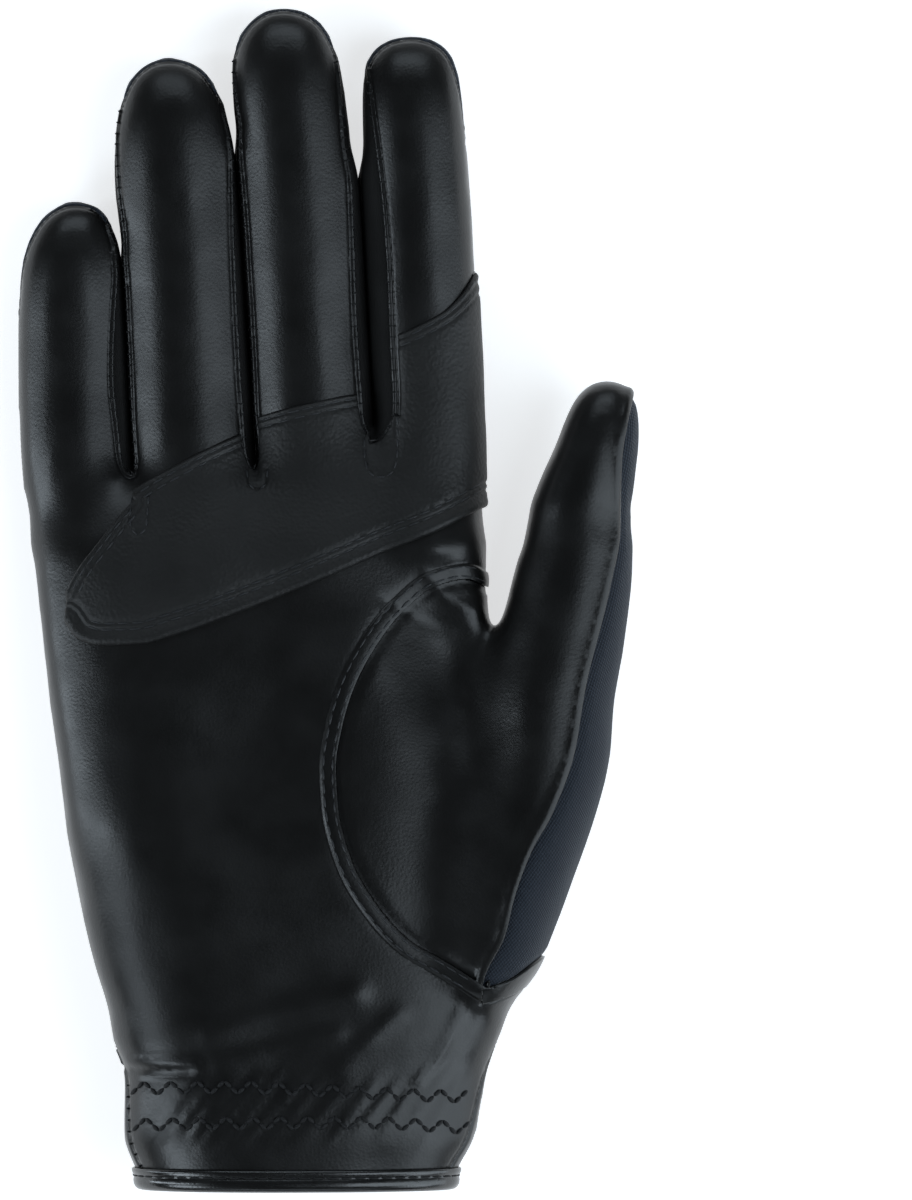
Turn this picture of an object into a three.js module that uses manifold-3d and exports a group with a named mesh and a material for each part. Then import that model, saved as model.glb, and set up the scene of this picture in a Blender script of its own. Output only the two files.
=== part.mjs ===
// A right-hand riding glove, filled out as if worn, lying on its back with the palm up.
// Millimetres: +X to the thumb, +Y to the fingertips, +Z out of the palm.
// The origin is on the surface that the glove rests on, under the middle of the palm.
import * as THREE from 'three';
import { mergeVertices } from 'three/addons/utils/BufferGeometryUtils.js';
import Module from 'manifold-3d';

const wasm = await Module();
wasm.setup();

// Walls, seams and gaps
const wall = 1.2;
const seamGap = 0.3;
const fingerGap = 0.9;

// The hand part, from the hem to the roots of the fingers
const handLength = 143;
const handDepth = 34;
const handSides = 34;
const originShare = 0.6126;
const cuffLength = 20;

// Fingers: the widths also set the width of the hand
const littleWidth = 22.1;
const ringWidth = 24.8;
const middleWidth = 23.9;
const indexWidth = 22.7;
const littleLength = 61.2;
const ringLength = 91.1;
const middleLength = 101.5;
const indexLength = 95.7;
const fingerDepth = 19;
const fingerSag = 0.8;
const fingerSides = 12;

// Thumb, from its root over the wrist to its tip
const thumbWidth = 22;
const thumbLength = 127;
const thumbSides = 14;

// Reinforcement over the roots of the fingers
const patchThickness = 1;
const patchLowest = 9.5;
const patchSlotHalf = 1.9;

// Hem binding and the folded edge above the back of the cuff
const bindingHeight = 4.6;
const bindingThickness = 1;
const bandHeight = 2.9;
const bandProud = 0.6;

// Strips between the fingers: the lower edge, and the upper edge on the left and the right finger
const stripLowest = 4;
const stripTopLeft = 11;
const stripTopRight = 14;
const stripBelowCrotch = 3;

const handWidth = littleWidth + ringWidth + middleWidth + indexWidth + 3 * fingerGap;
const palmUnderHem = originShare * handLength;
const crotchLine = handLength - palmUnderHem;
const hemLine = -palmUnderHem - bindingThickness - seamGap;
const far = 2 * handLength;

// Hand sections from the fingers to the hem. along is a share of handLength, left and right of
// handWidth, top and base of handDepth.
const handRows = [
  { along: 0.396, left: 0.515, right: 0.455, top: 0.565, base: -0.03 },
  { along: 0.32, left: 0.518, right: 0.466, top: 0.665, base: -0.04 },
  { along: 0.175, left: 0.492, right: 0.477, top: 0.79, base: -0.044 },
  { along: -0.015, left: 0.455, right: 0.498, top: 0.885, base: -0.044 },
  { along: -0.102, left: 0.44, right: 0.507, top: 0.925, base: -0.044 },
  { along: -0.189, left: 0.414, right: 0.518, top: 0.955, base: -0.035 },
  { along: -0.305, left: 0.375, right: 0.523, top: 0.985, base: 0.01 },
  { along: -0.364, left: 0.347, right: 0.515, top: 1, base: 0.04 },
  { along: -0.415, left: 0.334, right: 0.488, top: 1.02, base: 0.065 },
  { along: -0.447, left: 0.312, right: 0.472, top: 1.02, base: 0.07 },
  { along: -0.495, left: 0.314, right: 0.46, top: 1.04, base: 0.074 },
  { along: -0.545, left: 0.316, right: 0.446, top: 1.045, base: 0.078 },
  { along: -0.586, left: 0.293, right: 0.412, top: 1.03, base: 0.085 },
  { along: -0.66, left: 0.255, right: 0.375, top: 1.02, base: 0.1 },
];

// Swellings and hollows of the palm. across is a share of handWidth, along and spread of
// handLength, rise of handDepth.
const palmRelief = [
  { across: -0.3, along: -0.1, spread: 0.16, rise: 0.055 },
  { across: -0.03, along: 0.02, spread: 0.13, rise: -0.08 },
  { across: -0.36, along: 0.27, spread: 0.065, rise: 0.035 },
  { across: -0.12, along: 0.3, spread: 0.06, rise: 0.035 },
  { across: 0.12, along: 0.31, spread: 0.06, rise: 0.035 },
  { across: 0.34, along: 0.33, spread: 0.065, rise: 0.035 },
  { across: 0.02, along: -0.42, spread: 0.1, rise: -0.045 },
];

// Gathers that the elastic draws into the palm side of the cuff. across is a share of handWidth,
// rise of wall, lean is sideways per upward.
const cuffGathers = [
  { across: -0.14, rise: 0.9, lean: 0.7 },
  { across: -0.075, rise: 1.1, lean: 0.75 },
  { across: -0.01, rise: 1.2, lean: 0.8 },
  { across: 0.055, rise: 0.8, lean: 0.8 },
  { across: 0.21, rise: 0.9, lean: 0.75 },
  { across: 0.275, rise: 1.1, lean: 0.7 },
  { across: 0.34, rise: 0.8, lean: 0.6 },
];
const gatherHalf = 2.3;
const gatherMiddleShare = -0.5;

// Finger sections from the tip down. at is a share of the finger's length above the crotch line,
// left and right are shares of its width from its centre line.
const littleRows = [
  { at: 1, left: -0.08, right: 0.19 },
  { at: 0.98, left: 0.07, right: 0.35 },
  { at: 0.945, left: 0.21, right: 0.41 },
  { at: 0.895, left: 0.31, right: 0.46 },
  { at: 0.81, left: 0.41, right: 0.495 },
  { at: 0.645, left: 0.48, right: 0.505 },
  { at: 0.33, left: 0.525, right: 0.495 },
  { at: 0, left: 0.515, right: 0.51 },
  { at: -0.2, left: 0.4, right: 0.45 },
];
const ringRows = [
  { at: 1, left: 0.03, right: 0.12 },
  { at: 0.99, left: 0.13, right: 0.21 },
  { at: 0.968, left: 0.25, right: 0.34 },
  { at: 0.935, left: 0.34, right: 0.41 },
  { at: 0.89, left: 0.405, right: 0.475 },
  { at: 0.685, left: 0.5, right: 0.51 },
  { at: 0.55, left: 0.475, right: 0.5 },
  { at: 0.14, left: 0.51, right: 0.48 },
  { at: 0, left: 0.5, right: 0.52 },
  { at: -0.14, left: 0.42, right: 0.45 },
];
const middleRows = [
  { at: 1, left: 0.06, right: 0.1 },
  { at: 0.992, left: 0.175, right: 0.19 },
  { at: 0.967, left: 0.32, right: 0.34 },
  { at: 0.934, left: 0.42, right: 0.415 },
  { at: 0.8, left: 0.495, right: 0.5 },
  { at: 0.61, left: 0.48, right: 0.52 },
  { at: 0.3, left: 0.505, right: 0.49 },
  { at: 0.154, left: 0.515, right: 0.49 },
  { at: 0.08, left: 0.515, right: 0.53 },
  { at: 0, left: 0.51, right: 0.54 },
  { at: -0.13, left: 0.43, right: 0.45 },
];
const indexRows = [
  { at: 1, left: 0.08, right: 0.08 },
  { at: 0.991, left: 0.195, right: 0.21 },
  { at: 0.965, left: 0.355, right: 0.36 },
  { at: 0.92, left: 0.445, right: 0.43 },
  { at: 0.85, left: 0.475, right: 0.455 },
  { at: 0.65, left: 0.49, right: 0.485 },
  { at: 0.325, left: 0.5, right: 0.495 },
  { at: 0.163, left: 0.49, right: 0.485 },
  { at: 0.085, left: 0.55, right: 0.48 },
  { at: 0, left: 0.57, right: 0.475 },
  { at: -0.14, left: 0.5, right: 0.4 },
];

// How a fingertip rounds off in depth. back and keep are shares of the finger's depth.
const tipRows = [
  { back: 0, keep: 0.3 },
  { back: 0.05, keep: 0.46 },
  { back: 0.17, keep: 0.64 },
  { back: 0.36, keep: 0.8 },
  { back: 0.7, keep: 0.93 },
  { back: 1.2, keep: 1 },
];

// Thumb sections from the tip down. at is a share of thumbLength, left and right of thumbWidth
// from its centre line, top and base of handDepth.
const thumbRows = [
  { at: 1, left: 0, right: 0.17, top: 0.56, base: 0.38 },
  { at: 0.979, left: 0.157, right: 0.353, top: 0.65, base: 0.295 },
  { at: 0.94, left: 0.24, right: 0.45, top: 0.71, base: 0.225 },
  { at: 0.884, left: 0.3, right: 0.514, top: 0.747, base: 0.185 },
  { at: 0.753, left: 0.406, right: 0.594, top: 0.78, base: 0.118 },
  { at: 0.622, left: 0.453, right: 0.726, top: 0.823, base: 0.06 },
  { at: 0.573, left: 0.51, right: 0.745, top: 0.84, base: 0.035 },
  { at: 0.491, left: 0.65, right: 0.755, top: 0.885, base: 0.01 },
  { at: 0.36, left: 0.764, right: 0.83, top: 0.955, base: -0.03 },
  { at: 0.229, left: 0.755, right: 0.755, top: 1, base: -0.03 },
  { at: 0.098, left: 0.64, right: 0.623, top: 1, base: 0 },
  { at: 0, left: 0.37, right: 0.43, top: 0.925, base: 0.045 },
  { at: -0.036, left: 0.19, right: 0.33, top: 0.82, base: 0.15 },
];

// Height of the side seam between palm and back. along is a share of handLength, height of
// handDepth.
const seamRows = [
  { along: 1.2, height: 0.22 },
  { along: 0.4, height: 0.23 },
  { along: 0.1, height: 0.33 },
  { along: -0.2, height: 0.4 },
  { along: -0.385, height: 0.46 },
  { along: -0.43, height: 0.58 },
  { along: -0.48, height: 0.66 },
  { along: -0.7, height: 0.74 },
];
const thumbSeamShare = 0.36;

// Seam lines on the palm. across is a share of handWidth, along of handLength.
const thumbSeam = [
  { across: 0.49, along: 0.245 },
  { across: 0.395, along: 0.272 },
  { across: 0.335, along: 0.262 },
  { across: 0.27, along: 0.215 },
  { across: 0.207, along: 0.16 },
  { across: 0.163, along: 0.098 },
  { across: 0.132, along: 0.003 },
  { across: 0.137, along: -0.06 },
  { across: 0.167, along: -0.142 },
  { across: 0.232, along: -0.222 },
  { across: 0.302, along: -0.273 },
  { across: 0.367, along: -0.293 },
  { across: 0.42, along: -0.313 },
  { across: 0.465, along: -0.33 },
];
const clothSeam = [
  { across: 0.733, along: 0.59 },
  { across: 0.76, along: 0.55 },
  { across: 0.775, along: 0.515 },
  { across: 0.763, along: 0.485 },
  { across: 0.755, along: 0.44 },
  { across: 0.752, along: 0.38 },
  { across: 0.745, along: 0.32 },
  { across: 0.73, along: 0.26 },
  { across: 0.708, along: 0.198 },
  { across: 0.68, along: 0.11 },
  { across: 0.652, along: 0.01 },
  { across: 0.605, along: -0.08 },
  { across: 0.563, along: -0.128 },
  { across: 0.528, along: -0.19 },
  { across: 0.502, along: -0.255 },
  { across: 0.466, along: -0.312 },
  { across: 0.45, along: -0.36 },
];
const cuffEdge = [
  { across: 0.75, along: -0.24 },
  { across: 0.6, along: -0.292 },
  { across: 0.52, along: -0.327 },
  { across: 0.47, along: -0.338 },
  { across: 0.36, along: -0.357 },
  { across: 0.06, along: -0.4 },
  { across: -0.31, along: -0.428 },
  { across: -0.5, along: -0.436 },
];
const backThumbSeam = [
  { across: 0.49, along: 0.3 },
  { across: 0.49, along: 0.16 },
  { across: 0.43, along: 0.02 },
  { across: 0.41, along: -0.14 },
  { across: 0.44, along: -0.3 },
  { across: 0.46, along: -0.42 },
];

// Outline of the reinforcement, from the index finger's outer side round to the palm
const patchTop = [
  { across: 0.53, along: 0.79 },
  { across: 0.47, along: 0.73 },
  { across: 0.425, along: 0.68 },
  { across: 0.37, along: 0.648 },
  { across: 0.28, along: 0.618 },
  { across: 0.205, along: 0.6 },
  { across: 0.195, along: 0.532 },
  { across: 0.043, along: 0.51 },
  { across: -0.035, along: 0.487 },
  { across: -0.05, along: 0.475 },
  { across: -0.26, along: 0.398 },
  { across: -0.285, along: 0.385 },
  { across: -0.31, along: 0.368 },
  { across: -0.4, along: 0.292 },
  { across: -0.432, along: 0.245 },
];
const patchBottom = [
  { across: -0.425, along: 0.19 },
  { across: -0.345, along: 0.165 },
  { across: -0.2, along: 0.18 },
  { across: -0.048, along: 0.215 },
  { across: 0.116, along: 0.263 },
  { across: 0.292, along: 0.314 },
  { across: 0.36, along: 0.335 },
  { across: 0.43, along: 0.362 },
  { across: 0.53, along: 0.385 },
];

const materials = {
  leather: new THREE.MeshStandardMaterial({ color: '#23232a', roughness: 0.42, metalness: 0 }),
  patch: new THREE.MeshStandardMaterial({ color: '#1c1c20', roughness: 0.7, metalness: 0 }),
  cloth: new THREE.MeshStandardMaterial({ color: '#232b3a', roughness: 0.9, metalness: 0 }),
  binding: new THREE.MeshStandardMaterial({ color: '#1d1e24', roughness: 0.25, metalness: 0 }),
};

// A value between the rows of a table
function between(rows, key, value, column) {
  const rising = rows[rows.length - 1][key] > rows[0][key];
  const list = rising ? rows : [...rows].reverse();
  const next = list.findIndex((row) => row[key] >= value);
  if (next === 0) return list[0][column];
  if (next < 0) return list[list.length - 1][column];
  const before = list[next - 1];
  const after = list[next];
  const share = (value - before[key]) / (after[key] - before[key]);
  return THREE.MathUtils.lerp(before[column], after[column], share);
}

// A closed geometry as a solid
function solid(geometry) {
  geometry.deleteAttribute('normal');
  geometry.deleteAttribute('uv');
  const merged = mergeVertices(geometry, 1e-5);
  const mesh = new wasm.Mesh({
    numProp: 3,
    vertProperties: new Float32Array(merged.attributes.position.array),
    triVerts: new Uint32Array(merged.index.array),
  });
  return new wasm.Manifold(mesh);
}

// Stacked sections as one closed form: a cylinder whose rings are moved to their places.
// sectionAt gives a ring's centre, its reach each way and its power.
function loft(rings, sides, crowd, sectionAt) {
  const geometry = new THREE.CylinderGeometry(1, 1, 1, sides, rings - 1);
  const spots = geometry.attributes.position;
  for (let i = 0; i < spots.count; i += 1) {
    const ring = Math.round((0.5 - spots.getY(i)) * (rings - 1));
    const radius = Math.min(1, Math.hypot(spots.getX(i), spots.getZ(i)));
    const plain = Math.atan2(spots.getZ(i), spots.getX(i));
    const turn = plain + crowd * Math.cos(plain);
    const section = sectionAt(ring);
    const bend = 2 / section.power;
    const sideways = Math.sign(Math.cos(turn)) * Math.abs(Math.cos(turn)) ** bend * radius;
    const upward = Math.sign(Math.sin(turn)) * Math.abs(Math.sin(turn)) ** bend * radius;
    const x = section.x + sideways * (sideways < 0 ? section.left : section.right);
    const lift = upward > 0 && section.relief ? section.relief(x, section.y) * upward : 0;
    const z = section.z + upward * section.half + lift;
    spots.setXYZ(i, x, section.y, z);
  }
  return solid(geometry);
}

// Rise of the palm's surface at a place
function palmRise(x, y) {
  let rise = 0;
  for (const mound of palmRelief) {
    const away = Math.hypot(x - mound.across * handWidth, y - mound.along * handLength);
    rise += mound.rise * handDepth * Math.exp(-((away / (mound.spread * handLength)) ** 2));
  }
  const middle = gatherMiddleShare * handLength;
  const reach = 1 - ((y - middle) / (cuffLength / 2)) ** 2;
  if (reach <= 0) return rise;
  for (const gather of cuffGathers) {
    const line = gather.across * handWidth + gather.lean * (y - middle);
    rise += gather.rise * wall * reach * Math.exp(-(((x - line) / gatherHalf) ** 2));
  }
  return rise;
}

const handPower = 2.6;
const limbPower = 2.2;
const leastHalf = 0.4;

function handForm(grow) {
  return loft(handRows.length, handSides, 0.4, (ring) => {
    const row = handRows[ring];
    const last = ring === 0 ? grow : 0;
    return {
      x: 0,
      y: row.along * handLength + last,
      z: ((row.top + row.base) / 2) * handDepth,
      left: row.left * handWidth + grow,
      right: row.right * handWidth + grow,
      half: ((row.top - row.base) / 2) * handDepth + grow,
      power: handPower,
      relief: palmRise,
    };
  });
}

// Fingers side by side from the little finger, each with its lean to the left per upward
const fingers = [
  { name: 'little', width: littleWidth, length: littleLength, rows: littleRows, lean: 0.05 },
  { name: 'ring', width: ringWidth, length: ringLength, rows: ringRows, lean: 0.07 },
  { name: 'middle', width: middleWidth, length: middleLength, rows: middleRows, lean: 0.07 },
  { name: 'index', width: indexWidth, length: indexLength, rows: indexRows, lean: 0.05 },
];
const littleDepthShare = 0.9;
const handLeft = -0.53 * handWidth;
let nextLeft = handLeft;
for (const finger of fingers) {
  finger.x = nextLeft + finger.width / 2;
  finger.depth = finger.name === 'little' ? fingerDepth * littleDepthShare : fingerDepth;
  nextLeft += finger.width + fingerGap;
}

// The centre line of a finger at a height
const fingerX = (finger, y) => finger.x - finger.lean * (y - crotchLine);

function fingerForm(finger, grow) {
  return loft(finger.rows.length, fingerSides, 0, (ring) => {
    const row = finger.rows[ring];
    const back = ((1 - row.at) * finger.length) / finger.depth;
    const keep = between(tipRows, 'back', back, 'keep');
    const y = crotchLine + row.at * finger.length;
    const tip = THREE.MathUtils.clamp(1 - back * 2, 0, 1) * grow;
    return {
      x: fingerX(finger, y) + ((row.right - row.left) / 2) * finger.width,
      y: y + tip,
      z: finger.depth / 2 - fingerSag,
      left: Math.max(leastHalf, ((row.left + row.right) / 2) * finger.width + grow),
      right: Math.max(leastHalf, ((row.left + row.right) / 2) * finger.width + grow),
      half: Math.max(leastHalf, (keep * finger.depth) / 2 + grow),
      power: limbPower,
    };
  });
}

const thumbAcrossShare = 0.446;
const thumbAlongShare = -0.3345;
const thumbLeanRatio = 0.2;

function thumbForm(grow) {
  return loft(thumbRows.length, thumbSides, 0, (ring) => {
    const row = thumbRows[ring];
    const tip = THREE.MathUtils.clamp(1 - (1 - row.at) * 12, 0, 1) * grow;
    const half = ((row.left + row.right) / 2) * thumbWidth;
    const centre = ((row.right - row.left) / 2) * thumbWidth;
    return {
      x: thumbAcrossShare * handWidth + thumbLeanRatio * row.at * thumbLength + centre,
      y: thumbAlongShare * handLength + row.at * thumbLength + tip,
      z: ((row.top + row.base) / 2) * handDepth,
      left: Math.max(leastHalf, half + grow),
      right: Math.max(leastHalf, half + grow),
      half: Math.max(leastHalf, ((row.top - row.base) / 2) * handDepth + grow),
      power: limbPower,
    };
  });
}

// A straight-sided block between two corners
function block(low, high) {
  const size = new THREE.Vector3().subVectors(high, low);
  const geometry = new THREE.BoxGeometry(size.x, size.y, size.z);
  geometry.translate(low.x + size.x / 2, low.y + size.y / 2, low.z + size.z / 2);
  return solid(geometry);
}

const blockFrom = (x0, y0, z0, x1, y1, z1) =>
  block(new THREE.Vector3(x0, y0, z0), new THREE.Vector3(x1, y1, z1));

// The glove's whole form, grown or shrunk, flat where its back lies on the surface
function form(grow) {
  let whole = handForm(grow).add(thumbForm(grow));
  for (const finger of fingers) whole = whole.add(fingerForm(finger, grow));
  return whole.subtract(blockFrom(-far, -far, -far, far, far, -grow));
}

// A flat outline raised through the whole depth, or between two heights
function raised(outline, low = -handDepth, high = 2 * handDepth) {
  const shape = new THREE.Shape(outline);
  const geometry = new THREE.ExtrudeGeometry(shape, { depth: high - low, bevelEnabled: false });
  geometry.translate(0, 0, low);
  return solid(geometry);
}

// A seam line as points, moved sideways by an offset, to the right of its direction
function seamLine(rows, offset, steps = 12) {
  const places = rows.map((row) => new THREE.Vector2(row.across * handWidth, row.along * handLength));
  const curve = new THREE.SplineCurve(places);
  const points = [];
  for (let i = 0; i <= steps; i += 1) {
    const point = curve.getPoint(i / steps);
    const way = curve.getTangent(i / steps);
    points.push(new THREE.Vector2(point.x + way.y * offset, point.y - way.x * offset));
  }
  return points;
}

const spot = (x, y) => new THREE.Vector2(x, y);

// Everything on the thumb's side of its seam and above the cuff's folded edge
function thumbZone(shrink) {
  const arch = seamLine(thumbSeam, -shrink, 20);
  const outside = handWidth;
  return raised([
    ...arch,
    spot(0.52 * handWidth, -0.327 * handLength + shrink),
    spot(0.6 * handWidth, -0.292 * handLength + shrink),
    spot(outside, -0.2 * handLength),
    spot(outside, far),
    spot(0.49 * handWidth, far),
  ]);
}

// Everything outward of the cloth's seam along the thumb
function clothZone(shrink) {
  const line = seamLine(clothSeam, -shrink, 16);
  return raised([...line, spot(handWidth, -far), spot(handWidth, far), spot(line[0].x, far)]);
}

// The cuff below its folded edge
function cuffZone(shrink) {
  const line = seamLine(cuffEdge, -shrink);
  return raised([...line, spot(-far, -far), spot(far, -far)]);
}

// The folded edge itself, as a strip along its line
function bandZone(grow) {
  const half = bandHeight / 2 + grow;
  return raised([...seamLine(cuffEdge, half), ...seamLine(cuffEdge, -half).reverse()]);
}

// The thumb's side of the seam on the back of the hand
function backThumbZone(shrink) {
  const line = seamLine(backThumbSeam, -shrink);
  return raised([...line, spot(far, -far), spot(far, far), spot(line[0].x, far)]);
}

// Height of the side seam at a place
function seamHeight(x, y) {
  const hand = between(seamRows, 'along', y / handLength, 'height') * handDepth;
  const nearThumb = THREE.MathUtils.smoothstep(x, 0.46 * handWidth, 0.56 * handWidth);
  const onThumb = THREE.MathUtils.smoothstep(y, -0.1 * handLength, 0.15 * handLength);
  return THREE.MathUtils.lerp(hand, thumbSeamShare * handDepth, nearThumb * onThumb);
}

// Everything higher than the side seam, with the seam moved up by an offset
function overSeam(offset) {
  const length = 2.6 * handLength;
  const geometry = new THREE.BoxGeometry(2 * handWidth, length, 1, 8, 14, 1);
  const spots = geometry.attributes.position;
  for (let i = 0; i < spots.count; i += 1) {
    const lower = seamHeight(spots.getX(i), spots.getY(i)) + offset;
    spots.setZ(i, spots.getZ(i) > 0 ? 3 * handDepth : lower);
  }
  return solid(geometry);
}

// The strip between two neighbouring fingers, down one and up the other
function stripZone(left, right, grow) {
  const foot = crotchLine - stripBelowCrotch - grow;
  const leftTop = crotchLine + 0.92 * left.length + grow;
  const rightTop = crotchLine + 0.93 * right.length + grow;
  const gapX = (y) => (fingerX(left, y) + left.width / 2 + fingerX(right, y) - right.width / 2) / 2;
  const leftSide = raised([
    spot(fingerX(left, foot), foot),
    spot(gapX(foot) + grow + seamGap, foot),
    spot(gapX(leftTop) + grow + seamGap, leftTop),
    spot(fingerX(left, leftTop), leftTop),
  ], stripLowest - grow, stripTopLeft + grow);
  const rightSide = raised([
    spot(gapX(foot) - grow, foot),
    spot(fingerX(right, foot), foot),
    spot(fingerX(right, rightTop), rightTop),
    spot(gapX(rightTop) - grow, rightTop),
  ], stripLowest - grow, stripTopRight + grow);
  return leftSide.add(rightSide);
}

const outer = form(0);
const inner = form(-wall);
const aboveHem = blockFrom(-far, -palmUnderHem, -far, far, far, far);
const shell = outer.subtract(inner).intersect(aboveHem);
const half = seamGap / 2;
const above = overSeam(half);
const below = blockFrom(-far, -far, -far, far, far, far).subtract(overSeam(-half));
const band = bandZone(seamGap);
const [little, ring, middle, index] = fingers;
const pairs = [[little, ring], [ring, middle], [middle, index]];

let strips = stripZone(little, ring, seamGap);
for (const pair of pairs.slice(1)) strips = strips.add(stripZone(...pair, seamGap));

// The largest body of a solid, without the slivers that a cut leaves beside it
function mainBody(whole) {
  const bodies = whole.decompose();
  return bodies.reduce((best, body) => (body.volume() > best.volume() ? body : best));
}

function palm() {
  const front = shell.intersect(above).subtract(thumbZone(-half)).subtract(strips);
  return mainBody(front.subtract(band.intersect(rightOfPalm())));
}

// The folded edge shows on the palm side only to the right of this line
function rightOfPalm() {
  return blockFrom(0.455 * handWidth, -far, -far, far, far, far);
}

function back() {
  const rear = shell.intersect(below).subtract(strips).subtract(backThumbZone(-half));
  return mainBody(rear.subtract(cuffZone(-half)).subtract(band));
}

function thumbFront() {
  const front = shell.intersect(above).intersect(thumbZone(half));
  return mainBody(front.subtract(clothZone(-half)).subtract(band));
}

function thumbBack() {
  const region = clothZone(half).add(below.intersect(backThumbZone(half)));
  return mainBody(shell.intersect(region).subtract(cuffZone(-half)).subtract(band));
}

function strip(left, right) {
  return mainBody(shell.intersect(stripZone(left, right, 0)));
}

function cuffBack() {
  return mainBody(shell.intersect(below).intersect(cuffZone(half)).subtract(band));
}

function cuffBand() {
  const thick = form(bandProud).subtract(inner).intersect(bandZone(0));
  const frontEnd = blockFrom(0.455 * handWidth + seamGap, -far, -far, far, far, far);
  return mainBody(thick.intersect(below.add(frontEnd)));
}

function patch() {
  const lowest = blockFrom(-far, -far, patchLowest, far, far, far);
  const skin = form(seamGap + patchThickness).subtract(form(seamGap)).intersect(lowest);
  const outline = raised([...seamLine(patchTop, 0, 28), ...seamLine(patchBottom, 0, 10)]);
  let piece = skin.intersect(outline);
  for (const [left, right] of pairs) {
    const foot = crotchLine + (right.name === 'index' ? 0.085 * right.length : 0);
    const gapX = (y) => (fingerX(left, y) + left.width / 2 + fingerX(right, y) - right.width / 2) / 2;
    const top = crotchLine + right.length;
    piece = piece.subtract(raised([
      spot(gapX(foot) - patchSlotHalf / 2, foot),
      spot(gapX(foot) + patchSlotHalf / 2, foot),
      spot(gapX(top) + patchSlotHalf, top),
      spot(gapX(top) - patchSlotHalf, top),
    ]));
  }
  return mainBody(piece);
}

// The folded binding: one leg outside the leather, one inside, joined under its edge
function hemBinding() {
  const foldThickness = bindingThickness + seamGap;
  const slice = blockFrom(-far, hemLine, -far, far, hemLine + bindingHeight, far);
  const slot = blockFrom(-far, hemLine + bindingThickness, -far, far, far, far);
  const whole = form(foldThickness).subtract(form(-wall - foldThickness)).intersect(slice);
  return mainBody(whole.subtract(form(seamGap).subtract(form(-wall - seamGap)).intersect(slot)));
}

// A solid as a named mesh
function piece(name, body, material) {
  const { vertProperties, triVerts } = body.getMesh();
  const geometry = new THREE.BufferGeometry();
  geometry.setAttribute('position', new THREE.BufferAttribute(vertProperties, 3));
  geometry.setIndex(new THREE.BufferAttribute(triVerts, 1));
  geometry.computeVertexNormals();
  const mesh = new THREE.Mesh(geometry, material);
  mesh.name = name;
  return mesh;
}

const glove = new THREE.Group();
glove.add(piece('palm', palm(), materials.leather));
glove.add(piece('back', back(), materials.cloth));
glove.add(piece('thumb_front', thumbFront(), materials.leather));
glove.add(piece('thumb_back', thumbBack(), materials.cloth));
glove.add(piece('rein_patch', patch(), materials.patch));
glove.add(piece('cuff_back', cuffBack(), materials.leather));
glove.add(piece('cuff_band', cuffBand(), materials.leather));
glove.add(piece('hem_binding', hemBinding(), materials.binding));
for (const [left, right] of pairs) {
  const name = `fourchette_${left.name}_${right.name}`;
  glove.add(piece(name, strip(left, right), materials.leather));
}

export default glove;
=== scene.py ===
# A right-hand riding glove lying on its back, palm up, filled out as if worn.
# Shapes are worked out in millimetres in the frame's own axes and made metres when a piece is finished.
import math
import random
import time

import bmesh
import bpy
import numpy as np
from mathutils import Matrix, Vector
from mathutils.bvhtree import BVHTree
from mathutils.kdtree import KDTree


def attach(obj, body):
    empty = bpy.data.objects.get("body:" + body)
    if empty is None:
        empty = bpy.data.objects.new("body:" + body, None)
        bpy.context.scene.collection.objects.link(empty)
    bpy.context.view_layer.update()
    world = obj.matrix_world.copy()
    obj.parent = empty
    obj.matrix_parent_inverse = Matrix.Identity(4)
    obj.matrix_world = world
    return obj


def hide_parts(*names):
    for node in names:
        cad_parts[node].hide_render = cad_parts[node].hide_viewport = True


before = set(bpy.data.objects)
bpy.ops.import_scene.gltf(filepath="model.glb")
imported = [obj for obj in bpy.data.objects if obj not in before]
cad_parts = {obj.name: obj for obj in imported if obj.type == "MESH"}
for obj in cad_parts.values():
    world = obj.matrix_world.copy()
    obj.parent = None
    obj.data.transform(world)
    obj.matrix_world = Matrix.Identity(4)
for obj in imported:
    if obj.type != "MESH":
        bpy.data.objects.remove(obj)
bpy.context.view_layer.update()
random.seed(11)
started = time.time()


def report(stage):
    print(f"{time.time() - started:6.1f} s  {stage}")


def smoothCurve(xs, ys):
    # a curve through a table's values that never overshoots them
    xs = np.array(xs, float)
    ys = np.array(ys, float)
    if xs[0] > xs[-1]:
        xs, ys = xs[::-1], ys[::-1]
    step = np.diff(xs)
    rise = np.diff(ys) / step
    slope = np.zeros(len(xs))
    same = rise[:-1] * rise[1:] > 0
    first = 2 * step[1:] + step[:-1]
    second = step[1:] + 2 * step[:-1]
    part = first[same] / rise[:-1][same] + second[same] / rise[1:][same]
    slope[1:-1][same] = (first + second)[same] / part
    slope[0] = rise[0]
    slope[-1] = rise[-1]

    def at(x):
        x = np.clip(x, xs[0], xs[-1])
        i = np.clip(np.searchsorted(xs, x) - 1, 0, len(step) - 1)
        t = (x - xs[i]) / step[i]
        low = (2 * t**3 - 3 * t**2 + 1) * ys[i] + (t**3 - 2 * t**2 + t) * step[i] * slope[i]
        high = (3 * t**2 - 2 * t**3) * ys[i + 1] + (t**3 - t**2) * step[i] * slope[i + 1]
        return low + high

    return at


def smoothLine(points, step=1.0):
    # a fine line of points through a few given ones
    points = np.array(points, float)
    along = np.concatenate([[0], np.cumsum(np.hypot(*np.diff(points[:, :2], axis=0).T))])
    count = max(2, int(along[-1] / step) + 1)
    at = np.linspace(0, along[-1], count)
    return np.stack([smoothCurve(along, points[:, k])(at) for k in range(points.shape[1])], 1)


def smoothStep(value, low, high):
    t = np.clip((value - low) / (high - low), 0, 1)
    return t * t * (3 - 2 * t)


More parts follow.
